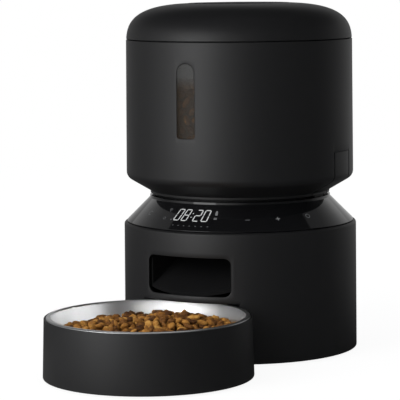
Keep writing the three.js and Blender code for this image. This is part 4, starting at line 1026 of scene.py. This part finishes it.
holder = {"foot": 80.8, "low": 1.4, "rim": 79.45, "rimZ": 47.4, "skirt": 78.4, "floor": 3.8, "floorTop": 6.2,
          "ledge": 45.2, "seat": 78.4, "ledgeIn": 76.9, "insideFoot": 78.33}
holderProfile = softened([
    (0, holder["floor"]), (holder["skirt"], holder["floor"], 0.4), (holder["skirt"], holder["low"], 0.4),
    (holder["foot"], holder["low"], 0.9), (holder["rim"], holder["rimZ"], 0.5),
    (holder["seat"], holder["rimZ"], 0.3), (holder["seat"], holder["ledge"], 0.2),
    (holder["ledgeIn"], holder["ledge"], 0.3), (holder["insideFoot"], holder["floorTop"], 2.0),
    (0, holder["floorTop"])], 6)
bowlHolder = turned("bowlHolder", holderProfile, bowlY)
shaped(bowlHolder, brick("holderTongue", about(0, tongue["half"]),
                         (bowlY + tongue["from"], bowlY + tongue["to"]),
                         (tongue["low"], tongue["top"])), "UNION")
finished(bowlHolder, "dish", "satin_black", "bowl_holder")

steel = {"under": 8.9, "floor": 9.8, "floorR": 50.0, "floorRound": 18.0, "seam": 47.2, "neckIn": 74.3,
         "neckOut": 75.0, "outside": [(59.2, 12.4, 12.0), (72.3, 36.5, 10.0)],
         "inside": [(71.4, 36.6, 10.0), (58.6, 13.2, 12.0)],
         "lipLow": 45.5, "lipTop": 48.2, "lipIn": 75.1, "lipTopIn": 74.5, "lipOut": 78.0}
steelProfile = softened([
    (0, steel["under"]), (steel["floorR"], steel["under"], steel["floorRound"]), *steel["outside"],
    (steel["neckOut"], steel["seam"]), (steel["neckIn"], steel["seam"]), *steel["inside"],
    (steel["floorR"], steel["floor"], steel["floorRound"]), (0, steel["floor"])], 7)
rimProfile = softened([     # the turned-out lip
    (steel["lipIn"], steel["lipLow"], 0.3), (steel["lipOut"], steel["lipLow"], 0.7),
    (steel["lipOut"], steel["lipTop"], 1.3), (steel["lipTopIn"], steel["lipTop"], 0.6),
    (steel["neckIn"], steel["seam"]), (steel["lipIn"], steel["seam"])], 7)
finished(turned("steelBowl", steelProfile, bowlY, 224), "dish", "bowl_steel", "steel_bowl", angle=60)
finished(turned("steelRim", rimProfile, bowlY, 224), "dish", "bowl_steel", angle=60)
print("bowl and holder")


# dry food

kibble = {"size": 4.1, "flat": 0.62, "spacing": 6.9, "jitter": 1.5, "kinds": 6, "lumps": 12,
          "lump": (-0.34, 0.30), "long": (0.95, 1.20), "wide": (0.82, 1.0), "dimple": 0.20,
          "dimpleFall": 2.2, "scale": (0.86, 1.10)}


def shake(reach):
    return random.uniform(-reach, reach)


def kibbleShape(name):
    # one baked piece: a pressed ball with a dimple and lumps
    deselectAll()
    bpy.ops.mesh.primitive_ico_sphere_add(subdivisions=2, radius=kibble["size"] * mm, location=(0, 0, 0))
    piece = named(name)
    lumps = [(Vector((random.gauss(0, 1), random.gauss(0, 1), random.gauss(0, 1))).normalized(),
              random.uniform(*kibble["lump"])) for k in range(kibble["lumps"])]
    stretch = Vector((random.uniform(*kibble["long"]), random.uniform(*kibble["wide"]), kibble["flat"]))
    for vertex in piece.data.vertices:
        way = vertex.co.normalized()
        swell = 1 + sum(height * max(0, way.dot(axis)) ** 3 for axis, height in lumps)
        middle = max(0, 1 - (way.x ** 2 + way.y ** 2) * kibble["dimpleFall"])
        press = 1 - kibble["dimple"] * middle
        vertex.co = Vector((way.x * stretch.x, way.y * stretch.y, way.z * stretch.z * press)) * (
            swell * kibble["size"] * mm)
    return piece


shapes = [kibbleShape(f"kibbleShape{k + 1}") for k in range(kibble["kinds"])]


def pile(name, places, body):
    # copies of the shapes, each turned its own way and baked its own shade
    bm = bmesh.new()
    shade = bm.verts.layers.float.new("bake")
    for place, tilt in places:
        source = random.choice(shapes).data
        turn = Matrix.Rotation(random.uniform(0, 2 * pi), 4, "Z")
        tiltX = Matrix.Rotation(shake(tilt), 4, "X")
        tiltY = Matrix.Rotation(shake(tilt), 4, "Y")
        size = Matrix.Scale(random.uniform(*kibble["scale"]), 4)
        matrix = Matrix.Translation(place * mm) @ tiltX @ tiltY @ turn @ size
        tint = random.random()
        fresh = [bm.verts.new(matrix @ v.co) for v in source.vertices]
        for vertex in fresh:
            vertex[shade] = tint
        for face in source.polygons:
            bm.faces.new([fresh[i] for i in face.vertices]).smooth = True
    mesh = bpy.data.meshes.new(name)
    bm.to_mesh(mesh)
    bm.free()
    heap = bpy.data.objects.new(name, mesh)
    bpy.context.scene.collection.objects.link(heap)
    mesh.materials.append(kibbleLook.material)
    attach(heap, body)


def spread(limit, spacing):
    # places on a disc in a jittered honeycomb
    rows = int(limit / spacing * 1.2) + 1
    places = []
    for i in range(-rows, rows + 1):
        for j in range(-rows, rows + 1):
            x = (i + 0.5 * (j % 2)) * spacing + shake(1) * kibble["jitter"]
            y = j * spacing * 0.866 + shake(1) * kibble["jitter"]
            if hypot(x, y) <= limit:
                places.append((x, y))
    return places


heap = {"peak": 44.0, "peakX": 9.0, "peakY": 2.0, "edge": 36.2, "fall": 1.4, "reach": 72.0, "r": 70.0,
        "layers": 3, "layer": 6.0, "rough": 1.4, "share": 0.8, "gap": 0.9, "tilt": 0.9, "neckR": 74.0,
        "neck": 10.0}
loose = {"count": 24, "x": (3.0, 20.0), "y": (6.0, 18.0), "r": 52.0, "lift": 3.4, "tilt": 0.6}
tankFill = {"top": 218.0, "r": 83.0, "share": 1.02, "dish": 3.0, "rough": 1.5, "sunk": 2.0, "tilt": 0.8}
frontFill = {"r": 84.0, "depth": 1.8, "low": 170.0, "rows": 8, "rowStep": 7.0, "columns": 4, "turn": 5.6,
             "turnJitter": 0.8, "spread": 17.0, "rough": 1.0, "tilt": 1.5}     # turns in degrees


def bowlWall(z):
    # the inside of the steel bowl: straight from its foot to its shoulder, then a steeper neck
    (r1, z1, _), (r0, z0, _) = steel["inside"]
    if z < z1:
        return r0 + (r1 - r0) * (z - z0) / (z1 - z0)
    return r1 + (heap["neckR"] - r1) * (z - z1) / heap["neck"]


def heapTop(x, y):
    r = hypot(x - heap["peakX"], y - heap["peakY"]) / heap["reach"]
    return heap["edge"] + (heap["peak"] - heap["edge"]) * max(0, 1 - r ** heap["fall"])


bowlPlaces = []
for layer in range(heap["layers"]):
    for x, y in spread(heap["r"], kibble["spacing"]):
        z = heapTop(x, y) - layer * heap["layer"] + shake(heap["rough"])
        if hypot(x, y) + kibble["size"] * heap["share"] < bowlWall(z) - heap["gap"]:
            bowlPlaces.append((Vector((x, bowlY + y, z)), heap["tilt"]))
for k in range(loose["count"]):     # loose pieces on top of the heap
    x, y = random.gauss(*loose["x"]), random.gauss(*loose["y"])
    if hypot(x, y) < loose["r"]:
        bowlPlaces.append((Vector((x, bowlY + y, heapTop(x, y) + loose["lift"])), loose["tilt"]))
pile("bowlKibble", bowlPlaces, "dish")

tankPlaces = []
for x, y in spread(tankFill["r"], kibble["spacing"] * tankFill["share"]):     # the top of the filling
    dip = tankFill["dish"] * (hypot(x, y) / tankFill["r"]) ** 2
    z = tankFill["top"] - dip + shake(tankFill["rough"])
    tankPlaces.append((Vector((x, towerY + y, z - tankFill["sunk"])), tankFill["tilt"]))
for row in range(frontFill["rows"]):     # what lies behind the window
    for k in range(-frontFill["columns"], frontFill["columns"] + 1):
        turn = (k + 0.5 * (row % 2)) * frontFill["turn"] + shake(frontFill["turnJitter"])
        if abs(turn) > frontFill["spread"]:
            continue
        r = frontFill["r"] - random.uniform(0, frontFill["depth"])
        z = frontFill["low"] + frontFill["rowStep"] * row + shake(frontFill["rough"])
        tankPlaces.append((roundTower(radians(turn), r, z), frontFill["tilt"]))
pile("tankKibble", tankPlaces, "tank")
for shape in shapes:
    bpy.data.objects.remove(shape, do_unlink=True)
print("dry food:", len(bowlPlaces) + len(tankPlaces), "pieces")


# screws under the base

screw = {"at": 84.5, "seat": 2.55, "r": 3.0, "taper": 0.25, "tall": 1.0, "slot": 0.75, "slotLong": 3.6,
         "slotLow": 1.0, "deep": 0.6}
screwLow = screw["seat"] - screw["tall"]
screwProfile = softened([(0, screw["seat"]), (screw["r"], screw["seat"], 0.1),
                         (screw["r"] - screw["taper"], screwLow, 0.45), (0, screwLow)], 3)
screwHeads = []
for k in range(4):
    x, y = diagonal(k, screw["at"])
    head = turned("screwHead", screwProfile, 0, 24)
    editAll()
    bpy.ops.transform.translate(value=(x * mm, y * mm, 0))
    editDone()
    for w, d in ((screw["slot"], screw["slotLong"]), (screw["slotLong"], screw["slot"])):
        shaped(head, brick("screwSlot", about(x, w / 2), about(y, d / 2),
                           (screw["slotLow"], screwLow + screw["deep"])))
    screwHeads.append(head)
finished(joined("bottomScrews", screwHeads), "base", "gear_steel")
print("screws")

low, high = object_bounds()
